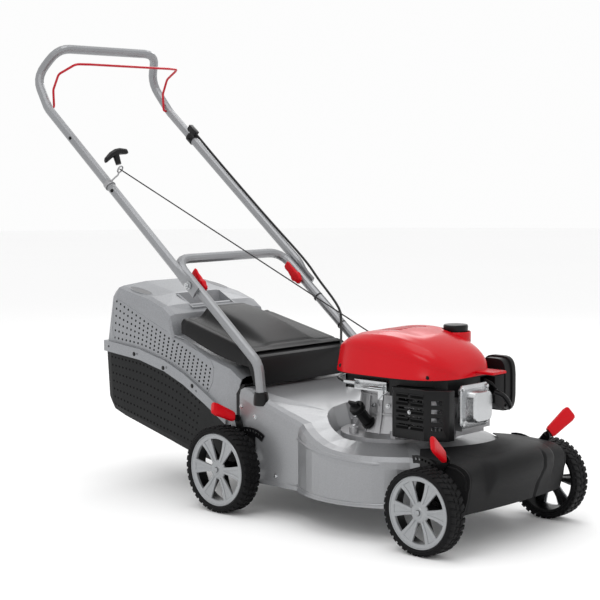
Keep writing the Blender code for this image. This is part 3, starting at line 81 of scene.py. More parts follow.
def camera():
    level = Vector((math.cos(CAMERA_YAW), math.sin(CAMERA_YAW), 0))
    flat = math.cos(CAMERA_PITCH)
    ahead = Vector((-math.sin(CAMERA_YAW) * flat, math.cos(CAMERA_YAW) * flat, -math.sin(CAMERA_PITCH)))
    rise = level.cross(ahead)
    right = level * math.cos(CAMERA_ROLL) + rise * math.sin(CAMERA_ROLL)
    up = rise * math.cos(CAMERA_ROLL) - level * math.sin(CAMERA_ROLL)
    cam = bpy.data.cameras.new("camera")
    cam.sensor_width = SENSOR_MM
    cam.lens = FOCAL_MM
    cam.shift_x, cam.shift_y = LENS_SHIFT
    cam.clip_end = 60
    obj = bpy.data.objects.new("camera", cam)
    bpy.context.scene.collection.objects.link(obj)
    place = Matrix((right, up, -ahead)).transposed().to_4x4()
    place.translation = CAMERA_AT
    obj.matrix_world = place
    bpy.context.scene.camera = obj


def lamp(name, at, aim, size, power):
    light = bpy.data.lights.new(name, "AREA")
    light.shape = "RECTANGLE"
    light.size, light.size_y = size, size
    light.energy = power
    obj = bpy.data.objects.new(name, light)
    bpy.context.scene.collection.objects.link(obj)
    obj.location = at
    obj.rotation_euler = (Vector(aim) - Vector(at)).to_track_quat("-Z", "Y").to_euler()


def studio():
    """A white room with three soft lamps and a pale floor."""
    world = bpy.data.worlds.new("studio")
    bpy.context.scene.world = world
    world.use_nodes = True
    back = world.node_tree.nodes["Background"]
    back.inputs["Color"].default_value = (1.0, 1.0, 1.0, 1)
    back.inputs["Strength"].default_value = BACKDROP
    lamp("key", (-2.2, -0.9, 2.7), (0, 0, 0.3), 1.2, 16)
    lamp("rim", (2.2, 1.6, 2.4), (0, 0, 0.4), 1.2, 14)
    lamp("top", (0.2, -0.2, 3.0), (0, 0, 0), 1.6, 16)
    bm = bmesh.new()
    bmesh.ops.create_circle(bm, cap_ends=True, segments=96, radius=FLOOR_R)
    floor = piece_from(bm, "floor", None, paint("floor", (0.965, 0.965, 0.965), 0.9, scale=3, tint=0.004))
    floor.location.z = FLOOR_Z
    bpy.context.scene.view_settings.view_transform = "Standard"


# ---------------------------------------------------------------- materials
COAT_ROUGHNESS = 0.12
DRIFT_SHARE, GRAIN_SHARE = 0.6, 0.4  # how much of each noise goes into the roughness
FLAKE_SCALE = 1400
RELIEF_DEPTH = 0.0006


def paint(name, rgb, rough, metallic=0.0, scale=60.0, tint=0.05, bump=0.0, fine=900.0, coat=0.0, flake=0.0,
          wear=0.06, sheen=0.0, stretch=(1, 1, 1), gloss=0.5):
    """Colour that drifts a little over the surface, roughness that follows it, and a fine grain in relief."""
    mat = bpy.data.materials.new(name)
    mat.use_nodes = True
    tree = mat.node_tree
    add, link = tree.nodes.new, tree.links.new
    shader = tree.nodes["Principled BSDF"]
    shader.inputs["Metallic"].default_value = metallic
    shader.inputs["Coat Weight"].default_value = coat
    shader.inputs["Coat Roughness"].default_value = COAT_ROUGHNESS
    shader.inputs["Specular IOR Level"].default_value = gloss
    shader.inputs["Sheen Weight"].default_value = sheen
    where = add("ShaderNodeTexCoord")
    sized = add("ShaderNodeMapping")
    sized.inputs["Scale"].default_value = stretch
    link(where.outputs["Object"], sized.inputs["Vector"])

    drift = add("ShaderNodeTexNoise")
    drift.inputs["Scale"].default_value = scale * 0.12
    drift.inputs["Detail"].default_value = 5
    link(sized.outputs["Vector"], drift.inputs["Vector"])
    grain = add("ShaderNodeTexNoise")
    grain.inputs["Scale"].default_value = fine
    grain.inputs["Detail"].default_value = 3
    link(sized.outputs["Vector"], grain.inputs["Vector"])

    tone = add("ShaderNodeValToRGB")
    dark, light = tone.color_ramp.elements
    dark.position, light.position = 0.3, 0.7
    dark.color = (*[c * (1 - tint) for c in rgb], 1)
    light.color = (*[min(1, c * (1 + tint)) for c in rgb], 1)
    link(drift.outputs["Fac"], tone.inputs["Fac"])
    colour = tone.outputs["Color"]
    if flake:
        cells = add("ShaderNodeTexVoronoi")
        cells.inputs["Scale"].default_value = FLAKE_SCALE
        link(where.outputs["Object"], cells.inputs["Vector"])
        spark = add("ShaderNodeMix")
        spark.data_type = "RGBA"
        spark.blend_type = "OVERLAY"
        spark.inputs["Factor"].default_value = flake
        link(colour, spark.inputs["A"])
        grey = add("ShaderNodeRGBToBW")
        link(cells.outputs["Color"], grey.inputs["Color"])
        link(grey.outputs["Val"], spark.inputs["B"])
        colour = spark.outputs["Result"]
    link(colour, shader.inputs["Base Color"])

    rub = add("ShaderNodeMapRange")
    rub.inputs["To Min"].default_value = max(0.03, rough - wear)
    rub.inputs["To Max"].default_value = min(1.0, rough + wear)
    mixed = add("ShaderNodeMath")
    mixed.operation = "MULTIPLY_ADD"
    mixed.inputs[1].default_value = DRIFT_SHARE
    link(drift.outputs["Fac"], mixed.inputs[0])
    share = add("ShaderNodeMath")
    share.operation = "MULTIPLY"
    share.inputs[1].default_value = GRAIN_SHARE
    link(grain.outputs["Fac"], share.inputs[0])
    link(share.outputs["Value"], mixed.inputs[2])
    link(mixed.outputs["Value"], rub.inputs["Value"])
    link(rub.outputs["Result"], shader.inputs["Roughness"])
    if bump:
        relief = add("ShaderNodeBump")
        relief.inputs["Strength"].default_value = bump
        relief.inputs["Distance"].default_value = RELIEF_DEPTH
        link(grain.outputs["Fac"], relief.inputs["Height"])
        link(relief.outputs["Normal"], shader.inputs["Normal"])
    return mat


SILVER = paint("silver_paint", (0.27, 0.275, 0.285), 0.36, 0.55, flake=0.14, coat=0.25, tint=0.03, bump=0.05)
TUBE = paint("tube_paint", (0.25, 0.255, 0.265), 0.36, 0.6, flake=0.08, coat=0.15, tint=0.05, bump=0.06)
CATCHER = paint("catcher_silver", (0.25, 0.257, 0.27), 0.42, 0.25, flake=0.25, coat=0.1, tint=0.04, bump=0.12,
                fine=1600)
GREY = paint("dark_grey_plastic", (0.007, 0.007, 0.0075), 0.50, scale=50, bump=0.35, fine=1500, tint=0.15,
             gloss=0.16)
TUB = paint("tub_plastic", (0.011, 0.0115, 0.012), 0.52, scale=50, bump=0.35, fine=1500, tint=0.15,
            gloss=0.14)
BLACK = paint("black_plastic", (0.004, 0.004, 0.0045), 0.34, scale=40, bump=0.22, fine=1300, tint=0.2,
              gloss=0.22)
FLAP = paint("flap_plastic", (0.0035, 0.0035, 0.004), 0.42, scale=50, bump=0.6, fine=700, tint=0.25,
             wear=0.12, gloss=0.2)
RED = paint("red_plastic", (0.50, 0.0008, 0.006), 0.24, coat=0.1, scale=30, bump=0.05, fine=260, tint=0.05,
            gloss=0.18)
GRIP = paint("grip_red", (0.50, 0.0008, 0.006), 0.34, scale=30, bump=0.2, fine=900, tint=0.06, gloss=0.18)
BAIL = paint("bail_red", (0.42, 0.001, 0.012), 0.30, 0.1, coat=0.2, bump=0.1, gloss=0.2)
RUBBER = paint("tyre_rubber", (0.005, 0.005, 0.0055), 0.62, scale=90, tint=0.3, bump=0.5, fine=1100,
               wear=0.12, gloss=0.14)
CAST = paint("cast_aluminium", (0.40, 0.40, 0.41), 0.46, 0.85, scale=80, bump=0.8, fine=650, tint=0.18,
             wear=0.14)
ZINC = paint("zinc_plate", (0.52, 0.53, 0.54), 0.26, 0.95, scale=160, tint=0.1, bump=0.1, wear=0.12)
STEEL = paint("steel", (0.34, 0.34, 0.35), 0.36, 0.95, scale=120, tint=0.15, bump=0.2, wear=0.12,
              stretch=(1, 8, 1))
IRON = paint("black_steel", (0.005, 0.005, 0.0055), 0.30, 0.2, bump=0.15, tint=0.2, gloss=0.25)
ROPE = paint("rope", (0.012, 0.012, 0.013), 0.75, scale=200, bump=0.9, fine=420, tint=0.4, sheen=0.1)
# Near-black painted shade that stands in for the dark insides of holes and louvre mouths.
HOLE_SHADE_PAINT = paint("painted_hole_shade", (0.0015, 0.0015, 0.0016), 0.8, tint=0.3, bump=0.2, gloss=0.1)
# Near-black painted shadow for the gap under the engine cover's lower edge.
SHADOW_GAP_PAINT = paint("shadow_gap", (0.006, 0.006, 0.006), 0.6, tint=0.3, bump=0.2, gloss=0.2)
HUB = paint("hub_silver", (0.30, 0.31, 0.32), 0.34, 0.45, flake=0.15, coat=0.2, bump=0.08)
OVAL = paint("oval_dish", (0.13, 0.13, 0.135), 0.35, 0.3, flake=0.3, bump=0.3)

SLOTS = {
    "silver_paint": SILVER, "dark_grey_plastic": GREY, "black_plastic": BLACK, "red_plastic": RED,
    "bail_red": BAIL, "silver_plastic": CATCHER, "tyre_rubber": RUBBER, "hub_silver": HUB,
    "cast_aluminium": CAST, "zinc_plate": ZINC, "steel": STEEL, "black_steel": IRON, "rope": ROPE,
}
SPECIAL = {
    "grip_front_left": GRIP, "grip_front_right": GRIP, "grip_rear_left": GRIP, "grip_rear_right": GRIP,
    "cam_left": GRIP, "cam_right": GRIP, "catcher_lower": TUB,
    "upper_handle": TUBE, "lower_handle": TUBE, "rear_flap": FLAP, "flap_hinge": FLAP,
}


def dress_nodes():
    for part in frame["record"]["subparts"]:
        name = part["node"]
        mesh = nodes[name].data
        mesh.materials.clear()
        mesh.materials.append(SPECIAL.get(name, SLOTS[part["material_slot"]]))


# ---------------------------------------------------------------- mesh tools
def shade(mesh, smooth):
    """Smooth shading, with edges sharper than this many degrees left sharp."""
    mesh.shade_smooth()
    mesh.set_sharp_from_angle(angle=math.radians(smooth))


def piece_from(bm, name, body, mat, smooth=35.0):
    mesh = bpy.data.meshes.new(name)
    bmesh.ops.recalc_face_normals(bm, faces=bm.faces)
    bm.to_mesh(mesh)
    bm.free()
    obj = bpy.data.objects.new(name, mesh)
    bpy.context.scene.collection.objects.link(obj)
    mesh.materials.append(mat)
    if smooth:
        shade(mesh, smooth)
    if body:
        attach(obj, body)
    return obj


def settle(obj, smooth):
    """Applies every modifier of the object and shades it again."""
    graph = bpy.context.evaluated_depsgraph_get()
    mesh = bpy.data.meshes.new_from_object(obj.evaluated_get(graph))
    obj.modifiers.clear()
    obj.data = mesh
    shade(mesh, smooth)


def thicken(obj, wall, smooth):
    """Gives a single sheet its wall, on the inner side."""
    thick = obj.modifiers.new("thick", "SOLIDIFY")
    thick.thickness = wall
    thick.offset = -1
    settle(obj, smooth)


def frame_along(direction, hint=(0, 0, 1)):
    """Two unit vectors square to the direction."""
    d = Vector(direction).normalized()
    h = Vector(hint)
    if abs(d.dot(h)) > 0.98:
        h = X
    u = d.cross(h).normalized()
    return u, u.cross(d).normalized()


def ring(centre, u, v, a, b, sides, turn=0.0):
    out = []
    for i in range(sides):
        t = 2 * math.pi * i / sides + turn
        out.append(Vector(centre) + u * a * math.cos(t) + v * b * math.sin(t))
    return out


def lathe(bm, centre, profile, sides, looped=False):
    """Turns (radius, height) rows about an upright axis through centre."""
    rows = [ring((centre.x, centre.y, z), X, Y, r, r, sides) for r, z in profile]
    skin(bm, rows + ([rows[0]] if looped else []), caps=not looped)


def skin(bm, loops, caps=True):
    """Joins loops of equal length into a tube, with its ends closed."""
    rows = [[bm.verts.new(p) for p in loop] for loop in loops]
    count = len(rows[0])
    for low, high in zip(rows, rows[1:]):
        for i in range(count):
            j = (i + 1) % count
            bm.faces.new((low[i], low[j], high[j], high[i]))
    if caps:
        bm.faces.new(rows[0][::-1])
        bm.faces.new(rows[-1])


def sheet(bm, rows):
    """Joins rows of points into an open sheet."""
    grid = [[bm.verts.new(p) for p in row] for row in rows]
    for a, b in zip(grid, grid[1:]):
        for j in range(len(a) - 1):
            bm.faces.new((a[j], a[j + 1], b[j + 1], b[j]))


def stud(bm, at, normal, radius, height, sides=6, dome=0.3):
    """Screw or bolt head with a washer and a crowned top."""
    at, n = Vector(at), Vector(normal).normalized()
    u, v = frame_along(n)
    flange = radius * 1.45
    skin(bm, [ring(at + n * h, u, v, flange, flange, 20) for h in (-0.0004, height * 0.25)])
    head = [(radius, height * 0.2), (radius, height * 0.8), (radius * 0.86, height),
            (radius * 0.5, height * (1 + dome * 0.3))]
    skin(bm, [ring(at + n * h, u, v, r, r, sides) for r, h in head])


def tube(bm, path, radius, sides=10):
    loops = []
    for i, p in enumerate(path):
        ahead = Vector(path[min(i + 1, len(path) - 1)]) - Vector(path[max(i - 1, 0)])
        u, v = frame_along(ahead, (0.13, 0.31, 0.94))
        loops.append(ring(p, u, v, radius, radius, sides))
    skin(bm, loops)


def surface_of(name):
    mesh = nodes[name].data
    corners = [v.co.copy() for v in mesh.vertices]
    return BVHTree.FromPolygons(corners, [tuple(p.vertices) for p in mesh.polygons])


def drop(tree, start, direction):
    """First point the ray meets, with the normal that faces the ray, or two Nones."""
    hit, normal, _, _ = tree.ray_cast(Vector(start), Vector(direction).normalized())
    if hit is None:
        return None, None
    if normal.dot(Vector(direction)) > 0:
        normal = -normal
    return hit, normal


def drop_from_side(tree, side, y, z):
    return drop(tree, (side * OUTSIDE, y, z), (-side, 0, 0))


def spline(table, t):
    """Catmull-Rom reading of rows (position, value...) at t."""
    rows = [table[0]] + list(table) + [table[-1]]
    last = len(rows) - 3
    for i in range(1, last + 1):
        if t > rows[i + 1][0] and i < last:
            continue
        a, b, c, d = rows[i - 1], rows[i], rows[i + 1], rows[i + 2]
        span = max(c[0] - b[0], 1e-9)
        u = min(max((t - b[0]) / span, 0.0), 1.0)
        out = []
        for j in range(1, len(b)):
            m0 = (c[j] - a[j]) / max(c[0] - a[0], 1e-9) * span
            m1 = (d[j] - b[j]) / max(d[0] - b[0], 1e-9) * span
            out.append((2 * u ** 3 - 3 * u * u + 1) * b[j] + (u ** 3 - 2 * u * u + u) * m0
                       + (3 * u * u - 2 * u ** 3) * c[j] + (u ** 3 - u * u) * m1)
        return out


def bell(t):
    return math.exp(-t ** 2)


def step_down(t, steepness):
    """Goes smoothly from 1 to 0 as t passes 0."""
    return 1 / (1 + math.exp(t * steepness))


# ---------------------------------------------------------------- wheels
LUGS = 38
SPOKES = 6
SPOKE_START = 0.0185
HUB_DEPTH, RIM_DEPTH = 0.0068, 0.0052
LUG_EDGE = 0.0012
FACE_BACK = 0.0120  # how deep a wheel's silver face reaches
BARREL_FRONT = 0.0124
BARREL_BACK = 0.0052  # how far the black barrel stays in front of the inner face


class Wheel:
    """Sizes of one wheel. Its points are a radius, an angle round the axle and a depth behind its outer face."""

    def __init__(self, tag):
        low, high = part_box("tyre_" + tag)
        self.side = RIGHT if low.x < 0 else LEFT
        self.centre = (low + high) / 2
        self.radius = (high.z - low.z) / 2
        self.outer = low.x if self.side == RIGHT else high.x
        self.width = high.x - low.x
        self.seat = self.radius * 0.845
        self.rim = self.seat - 0.0004

    def at(self, r, angle, depth):
        return Vector((self.outer - self.side * depth, self.centre.y + r * math.cos(angle),
                       self.centre.z + r * math.sin(angle)))

    def turned(self, bm, profile, segments):
        angles = [2 * math.pi * i / segments for i in range(segments)]
        rings = [[self.at(r, angle, depth) for angle in angles] for r, depth in profile]
        skin(bm, rings + [rings[0]], caps=False)


def tread_block(bm, wheel, angle, span, near, far, skew):
    """One lug of the tread: its foot sits in the carcass and its crown is a little smaller."""
    middle = (near + far) / 2
    loops = []
    for r, shrink in ((0.965, 1.0), (0.9970, 0.84), (0.9988, 0.74)):
        loop = []
        for along, turn in ((near, -1), (far, -1), (far, 1), (near, 1)):
            depth = middle + (along - middle) * (0.5 + shrink / 2)
            lean = skew * (depth - near) / (far - near)
            shoulder = 0.012 * (1 - min(depth, 0.008) / 0.008)
            loop.append(wheel.at(wheel.radius * (r - shoulder), angle + lean + span * shrink * turn, depth))
        loops.append(loop)
    skin(bm, loops)


def spoke(bm, wheel, angle):
    """Two raised ribs that part towards the rim, with a sunk web between them."""
    steps = 9
    stations = []
    for i in range(steps):
        k = i / (steps - 1)
        r = SPOKE_START + (wheel.rim * 0.875 - SPOKE_START) * k
        crown = HUB_DEPTH + (RIM_DEPTH - HUB_DEPTH) * k + 0.0016 * math.sin(math.pi * k)
        stations.append((k, r, crown))
    for s in (-1, 1):
        loops = []
        for k, r, crown in stations:
            mid = angle + s * (0.0040 + 0.0085 * k ** 1.4) / r
            half = (0.0030 + 0.0016 * k) / r
            rib = ((-1, 0.0046), (-0.95, 0.0008), (-0.55, 0), (0.55, 0), (0.95, 0.0008), (1, 0.0046))
            loops.append([wheel.at(r, mid + half * share, crown + deep) for share, deep in rib])
        skin(bm, loops)
    loops = []
    for k, r, crown in stations:
        half = (0.0042 + 0.0085 * k ** 1.4) / r
        web = ((-half, 0.0041), (-half, 0.0017), (half, 0.0017), (half, 0.0041))
        loops.append([wheel.at(r, angle + spread, crown + deep) for spread, deep in web])
    skin(bm, loops)


def rear_rib(bm, wheel, angle):
    """Stiffener behind one spoke."""
    rim, foot = wheel.rim, BARREL_FRONT + 0.0002
    loops = []
    for r, half, deep in ((0.014, 0.0055, 0.030), (rim * 0.5, 0.0070, 0.024), (rim * 0.88, 0.0120, 0.019)):
        w = half / r
        loops.append([wheel.at(r, angle + spread, depth) for spread, depth in
                      ((-w, foot), (w, foot), (w * 0.5, deep), (-w * 0.5, deep))])
    skin(bm, loops)


def build_wheel(tag):
    wheel = Wheel(tag)
    radius, width, seat, rim = wheel.radius, wheel.width, wheel.seat, wheel.rim
    body = "wheel_" + tag

    bm = bmesh.new()
    wall = [(seat, 0.0030), (seat + 0.002, 0.0010), (radius * 0.885, 0.0004), (radius * 0.905, 0.0014),
            (radius * 0.912, 0.0005), (radius * 0.945, 0.0014), (radius * 0.966, 0.0050),
            (radius * 0.978, 0.0110)]
    wheel.turned(bm, wall + [(r, width - depth) for r, depth in wall[::-1]], 96)
    pitch = 2 * math.pi / LUGS
    for i in range(LUGS):
        tread_block(bm, wheel, i * pitch, pitch * 0.36, LUG_EDGE, width * 0.36, pitch * 0.35)
        tread_block(bm, wheel, (i + 0.5) * pitch, pitch * 0.36, width - LUG_EDGE, width * 0.64, pitch * 0.35)
        tread_block(bm, wheel, (i + 0.55) * pitch, pitch * 0.30, width * 0.39, width * 0.61, 0.0)
    tyre = piece_from(bm, "tread_" + tag, body, RUBBER, 30)
    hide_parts("tyre_" + tag)

    bm = bmesh.new()
    wheel.turned(bm, [(rim * 0.850, FACE_BACK), (rim * 0.850, 0.0066), (rim * 0.862, 0.0052),
                      (rim * 0.90, 0.0042), (rim * 0.955, 0.0040), (rim * 0.965, 0.0026),
                      (rim * 0.985, 0.0022), (rim, 0.0034), (rim, FACE_BACK)], 96)
    wheel.turned(bm, [(0.0060, FACE_BACK), (0.0060, 0.0046), (0.0100, 0.0040), (0.0112, 0.0050),
                      (0.0150, 0.0052), (0.0180, 0.0062), (0.0215, 0.0092), (0.0220, FACE_BACK)], 48)
    for k in range(SPOKES):
        spoke(bm, wheel, 2 * math.pi * k / SPOKES)
    face = piece_from(bm, "hub_face_" + tag, body, HUB, 32)

    bm = bmesh.new()
    wheel.turned(bm, [(rim * 0.850, BARREL_FRONT), (rim, BARREL_FRONT), (rim, width - BARREL_BACK),
                      (rim - 0.0050, width - BARREL_BACK), (rim * 0.890, width * 0.6)], 96)
    wheel.turned(bm, [(0.0066, BARREL_FRONT), (0.0160, BARREL_FRONT), (0.0150, width - 0.0030),
                      (0.0066, width - 0.0030)], 40)
    for k in range(SPOKES):
        rear_rib(bm, wheel, 2 * math.pi * k / SPOKES)
    piece_from(bm, "hub_barrel_" + tag, body, BLACK, 32)
    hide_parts("rim_" + tag)

    bm = bmesh.new()
    stud(bm, wheel.at(0, 0, 0.0050), (wheel.side, 0, 0), 0.0052, 0.0042, 24, 0.8)
    piece_from(bm, "axle_cap_" + tag, body, HUB, 30)


# ---------------------------------------------------------------- engine cover
COWL_LENGTH, COWL_HALF, COWL_WALL = 0.300, 0.135, 0.0025
COWL_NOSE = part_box("cowl")[0].y
COWL_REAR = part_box("cowl")[1].y
COWL_FRONT = COWL_REAR - COWL_LENGTH
COWL_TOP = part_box("cowl")[1].z
COWL_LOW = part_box("cowl")[0].z
COWL_SMOOTH = 34
FLANK = 0.24  # share of the section that each flank takes
# Share of the length, half width near and far as a share of COWL_HALF, drop of the shoulder and of the crown.
COWL_ROWS = (
    (0.000, 0.42, 0.34, 0.092, 0.082), (0.028, 0.62, 0.46, 0.082, 0.062), (0.10, 0.82, 0.60, 0.073, 0.040),
    (0.22, 0.94, 0.68, 0.062, 0.020), (0.36, 0.99, 0.88, 0.053, 0.006), (0.52, 1.00, 0.97, 0.046, 0.0),
    (0.68, 1.00, 0.98, 0.041, 0.002), (0.84, 0.96, 0.93, 0.041, 0.010), (0.95, 0.84, 0.80, 0.048, 0.024),
    (0.985, 0.76, 0.72, 0.056, 0.036), (1.0, 0.66, 0.62, 0.066, 0.052),
)
CAP_HOLE_R = 0.0305
SLOT_COUNT, SLOT_PITCH, SLOT_START, SLOT_R = 6, 0.016, -0.040, 0.0035
SLOT_FROM_REAR = (0.080, 0.134)
ROPE_HOLE_R = 0.0044
ROPE_RUN = Vector((-0.2344, 0.9715, 0.532)).normalized()
TONGUE_X, TONGUE_LOW = 0.028, 0.3362


def cowl_point(k, s, inset=0.0):
    """Skin of the cover; s runs from 0 at the near lower edge to 1 at the far one."""
    near, far, shoulder, crown = spline(COWL_ROWS, k)
    near, far = near * COWL_HALF - inset, far * COWL_HALF - inset
    shoulder, crown = COWL_TOP - shoulder - inset, COWL_TOP - crown - inset
    low = COWL_LOW - (0.004 if inset else 0.0)
    if s < FLANK or s > 1 - FLANK:
        t = (s if s < FLANK else 1 - s) / FLANK
        w = near if s < FLANK else far
        x = w * (1.0 - 0.10 * t ** 1.3 - 0.010 * math.sin(math.pi * t))
        return (-x if s < FLANK else x), low + (shoulder - low) * t
    t = math.pi * (s - FLANK) / (1 - 2 * FLANK)
    c = -math.cos(t)
    w = (near if c < 0 else far) * 0.90
    z = shoulder + (crown - shoulder) * math.sin(t) ** 0.7
    ridge = bell((abs(c) - 0.80) / 0.05) * math.sin(math.pi * min(max(k * 1.08, 0), 1))
    recess = step_down(abs(c + 0.05) - 0.44, 40) * step_down(abs(k - 0.60) - 0.27, 45)
    z += 0.0022 * ridge - 0.0036 * recess
    return w * c, min(z, COWL_TOP)


def cowl_form(inset):
    stations = [0.0, 0.006, 0.016] + [0.028 + 0.944 * i / 52 for i in range(53)] + [0.984, 0.994, 1.0]
    across = [0.0, 0.012] + [0.03 + 0.94 * i / 66 for i in range(67)] + [0.988, 1.0]
    loops = []
    for k in stations:
        y = min(max(COWL_FRONT + COWL_LENGTH * k, COWL_FRONT + inset), COWL_REAR - inset)
        loops.append([(x, y, z) for x, z in (cowl_point(k, s, inset) for s in across)])
    bm = bmesh.new()
    skin(bm, loops)
    return bm


def slot_outline(x):
    """Long hole with round ends."""
    out = []
    for from_rear, start_at in zip(SLOT_FROM_REAR, (0.0, math.pi)):
        for j in range(9):
            t = start_at + math.pi * j / 8
            out.append((x + SLOT_R * math.cos(t), COWL_REAR - from_rear + SLOT_R * math.sin(t)))
    return out


def cowl_cutters(cap):
    """The hollow, the holes for the filler and the rope, and the slots over the starter."""
    cutters = [piece_from(cowl_form(COWL_WALL), "hollow", None, RED, 0)]
    bm = bmesh.new()
    lathe(bm, cap, ((CAP_HOLE_R, 0.34), (CAP_HOLE_R, 0.46)), 48)
    cutters.append(piece_from(bm, "cap_hole", None, RED, 0))
    bm = bmesh.new()
    start = Vector((-0.030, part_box("starter_rope")[0].y + 0.0008, 0.405))
    u, v = frame_along(ROPE_RUN)
    skin(bm, [ring(start + ROPE_RUN * d, u, v, ROPE_HOLE_R, ROPE_HOLE_R, 20) for d in (-0.03, 0.06)])
    cutters.append(piece_from(bm, "rope_hole", None, RED, 0))
    for i in range(SLOT_COUNT):
        bm = bmesh.new()
        outline = slot_outline(SLOT_START + SLOT_PITCH * i)
        skin(bm, [[(x, y, z) for x, y in outline] for z in (COWL_TOP - 0.03, COWL_TOP + 0.02)])
        cutters.append(piece_from(bm, "slot%d" % i, None, RED, 0))
    return cutters


def build_cowl():
    cap_low, cap_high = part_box("fuel_cap")
    cap = (cap_low + cap_high) / 2
    outer = piece_from(cowl_form(0.0), "engine_cover", None, RED, COWL_SMOOTH)
    cutters = cowl_cutters(cap)
    for cutter in cutters:
        cut = outer.modifiers.new("cut", "BOOLEAN")
        cut.operation = "DIFFERENCE"
        cut.solver = "EXACT"
        cut.object = cutter
    settle(outer, COWL_SMOOTH)
    for cutter in cutters:
        bpy.data.objects.remove(cutter)
    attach(outer, "chassis")
    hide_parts("cowl")

    bm = bmesh.new()
    lathe(bm, cap, ((CAP_HOLE_R, 0.4110), (0.0318, 0.4118), (0.0330, 0.4105), (0.0330, 0.3890),
                    (0.0200, 0.3890), (0.0200, 0.3912), (CAP_HOLE_R, 0.3912)), 48, looped=True)
    piece_from(bm, "filler_cup", "chassis", RED, 34)

    bm = bmesh.new()
    tip = COWL_NOSE + 0.0002
    rear = COWL_FRONT + 0.012
    loops = []
    for y, half in ((tip, 0.021), (tip + 0.003, 0.024), (COWL_FRONT - 0.004, 0.024), (rear, 0.024)):
        section = ((-half, 0), (half, 0), (half, 0.0038), (half - 0.0015, 0.0054), (-half + 0.0015, 0.0054),
                   (-half, 0.0038))
        loops.append([(TONGUE_X + x, y, TONGUE_LOW + z) for x, z in section])
    skin(bm, loops)
    piece_from(bm, "cover_tongue", "chassis", RED, 30)

    bm = bmesh.new()
    for k, s in ((0.12, 0.055), (0.90, 0.055), (0.12, 0.945), (0.90, 0.945)):
        x, z = cowl_point(k, s)
        stud(bm, (x, COWL_FRONT + COWL_LENGTH * k, z), (math.copysign(1, x), 0, 0.1), 0.0030, 0.0022, 12)
    piece_from(bm, "cover_screws", "chassis", IRON, 30)

    # Dark band just inside the cover's lower edge: painted shadow in the gap between cover and deck.
    bm = bmesh.new()
    there = [i / 30 for i in range(31)]
    edge = [(k, 0.0) for k in there] + [(1 - k, 1.0) for k in there]
    outline = [(cowl_point(k, s)[0] * 0.985, COWL_FRONT + 0.003 + 0.294 * k) for k, s in edge]
    skin(bm, [[(x, y, z) for x, y in outline] for z in (COWL_LOW - 0.0030, COWL_LOW + 0.0004)], caps=False)
    piece_from(bm, "cover_shadow_gap", "chassis", SHADOW_GAP_PAINT, 0)


# ---------------------------------------------------------------- grass catcher
# Corners (y, z) of each field of holes: rear upper, front upper, rear lower, front lower.
UPPER_HOLES = ((0.4300, 0.4400), (0.0860, 0.3060), (0.4364, 0.3520), (0.0960, 0.2640))
LOWER_HOLES = ((0.4480, 0.2950), (0.1240, 0.2200), (0.4440, 0.1840), (0.1500, 0.1250))
BAND_SCREWS = ((0.4560, 0.3285), (0.3555, 0.3177), (0.2486, 0.2935), (0.1437, 0.2612))
# Lower edge (y, z) of the band where the lid meets the tub.
BAND = ((-0.018, 0.175), (0.021, 0.186), (0.099, 0.224), (0.177, 0.261), (0.225, 0.279), (0.274, 0.292),
        (0.332, 0.305), (0.410, 0.312), (0.470, 0.316))
BAND_HEIGHT = 0.026
OVAL_AT = (0.126, 0.372)
STEEPEST = 0.8  # a wall whose normal turns further from sideways than this takes no hole


def hole_shade_rows(bm, node, corners, rows, columns, side, radius, follow):
    """Rows of near-black discs on the side wall, painted shade standing in for the dark insides of small holes.
    The row next to the band keeps the distance follow from it.
    """
    tree = surface_of(node)
    top_rear, top_front, low_rear, low_front = [Vector((0, *c)) for c in corners]
    for i in range(rows):
        for j in range(columns):
            b = j / (columns - 1)
            upper, lower = top_rear.lerp(top_front, b), low_rear.lerp(low_front, b)
            if follow > 0:
                lower.z = spline(BAND, lower.y)[0] + BAND_HEIGHT + follow
            else:
                upper.z = spline(BAND, upper.y)[0] + follow
            at = upper.lerp(lower, i / (rows - 1))
            hit, normal = drop_from_side(tree, side, at.y, at.z)
            if hit is None or abs(normal.x) < STEEPEST:
                continue
            u, v = frame_along(normal)
            skin(bm, [ring(hit + normal * h, u, v, radius, radius, 8, math.pi / 8)
                      for h in (-0.0004, 0.00022)])


def panel_outline(side, tree):
    """Path of the raised bead round the upper field of holes, sunk a little into the wall."""
    a, b, c, d = UPPER_HOLES
    corners = [(a[0] + 0.014, a[1] + 0.012), (b[0] - 0.012, b[1] + 0.012), (d[0] - 0.018, d[1] + 0.004),
               (c[0] + 0.012, c[1] + 0.004)]
    path = []
    for i, count in enumerate((22, 7, 22, 7)):
        p, q = Vector(corners[i]), Vector(corners[(i + 1) % 4])
        for j in range(1, count):
            y, z = p.lerp(q, j / count)
            if i == 2:
                z = spline(BAND, y)[0] + BAND_HEIGHT + 0.0032
            hit, normal = drop_from_side(tree, side, y, z)
            if hit is not None:
                path.append(hit - normal * 0.0004)
    return path + [path[0]]


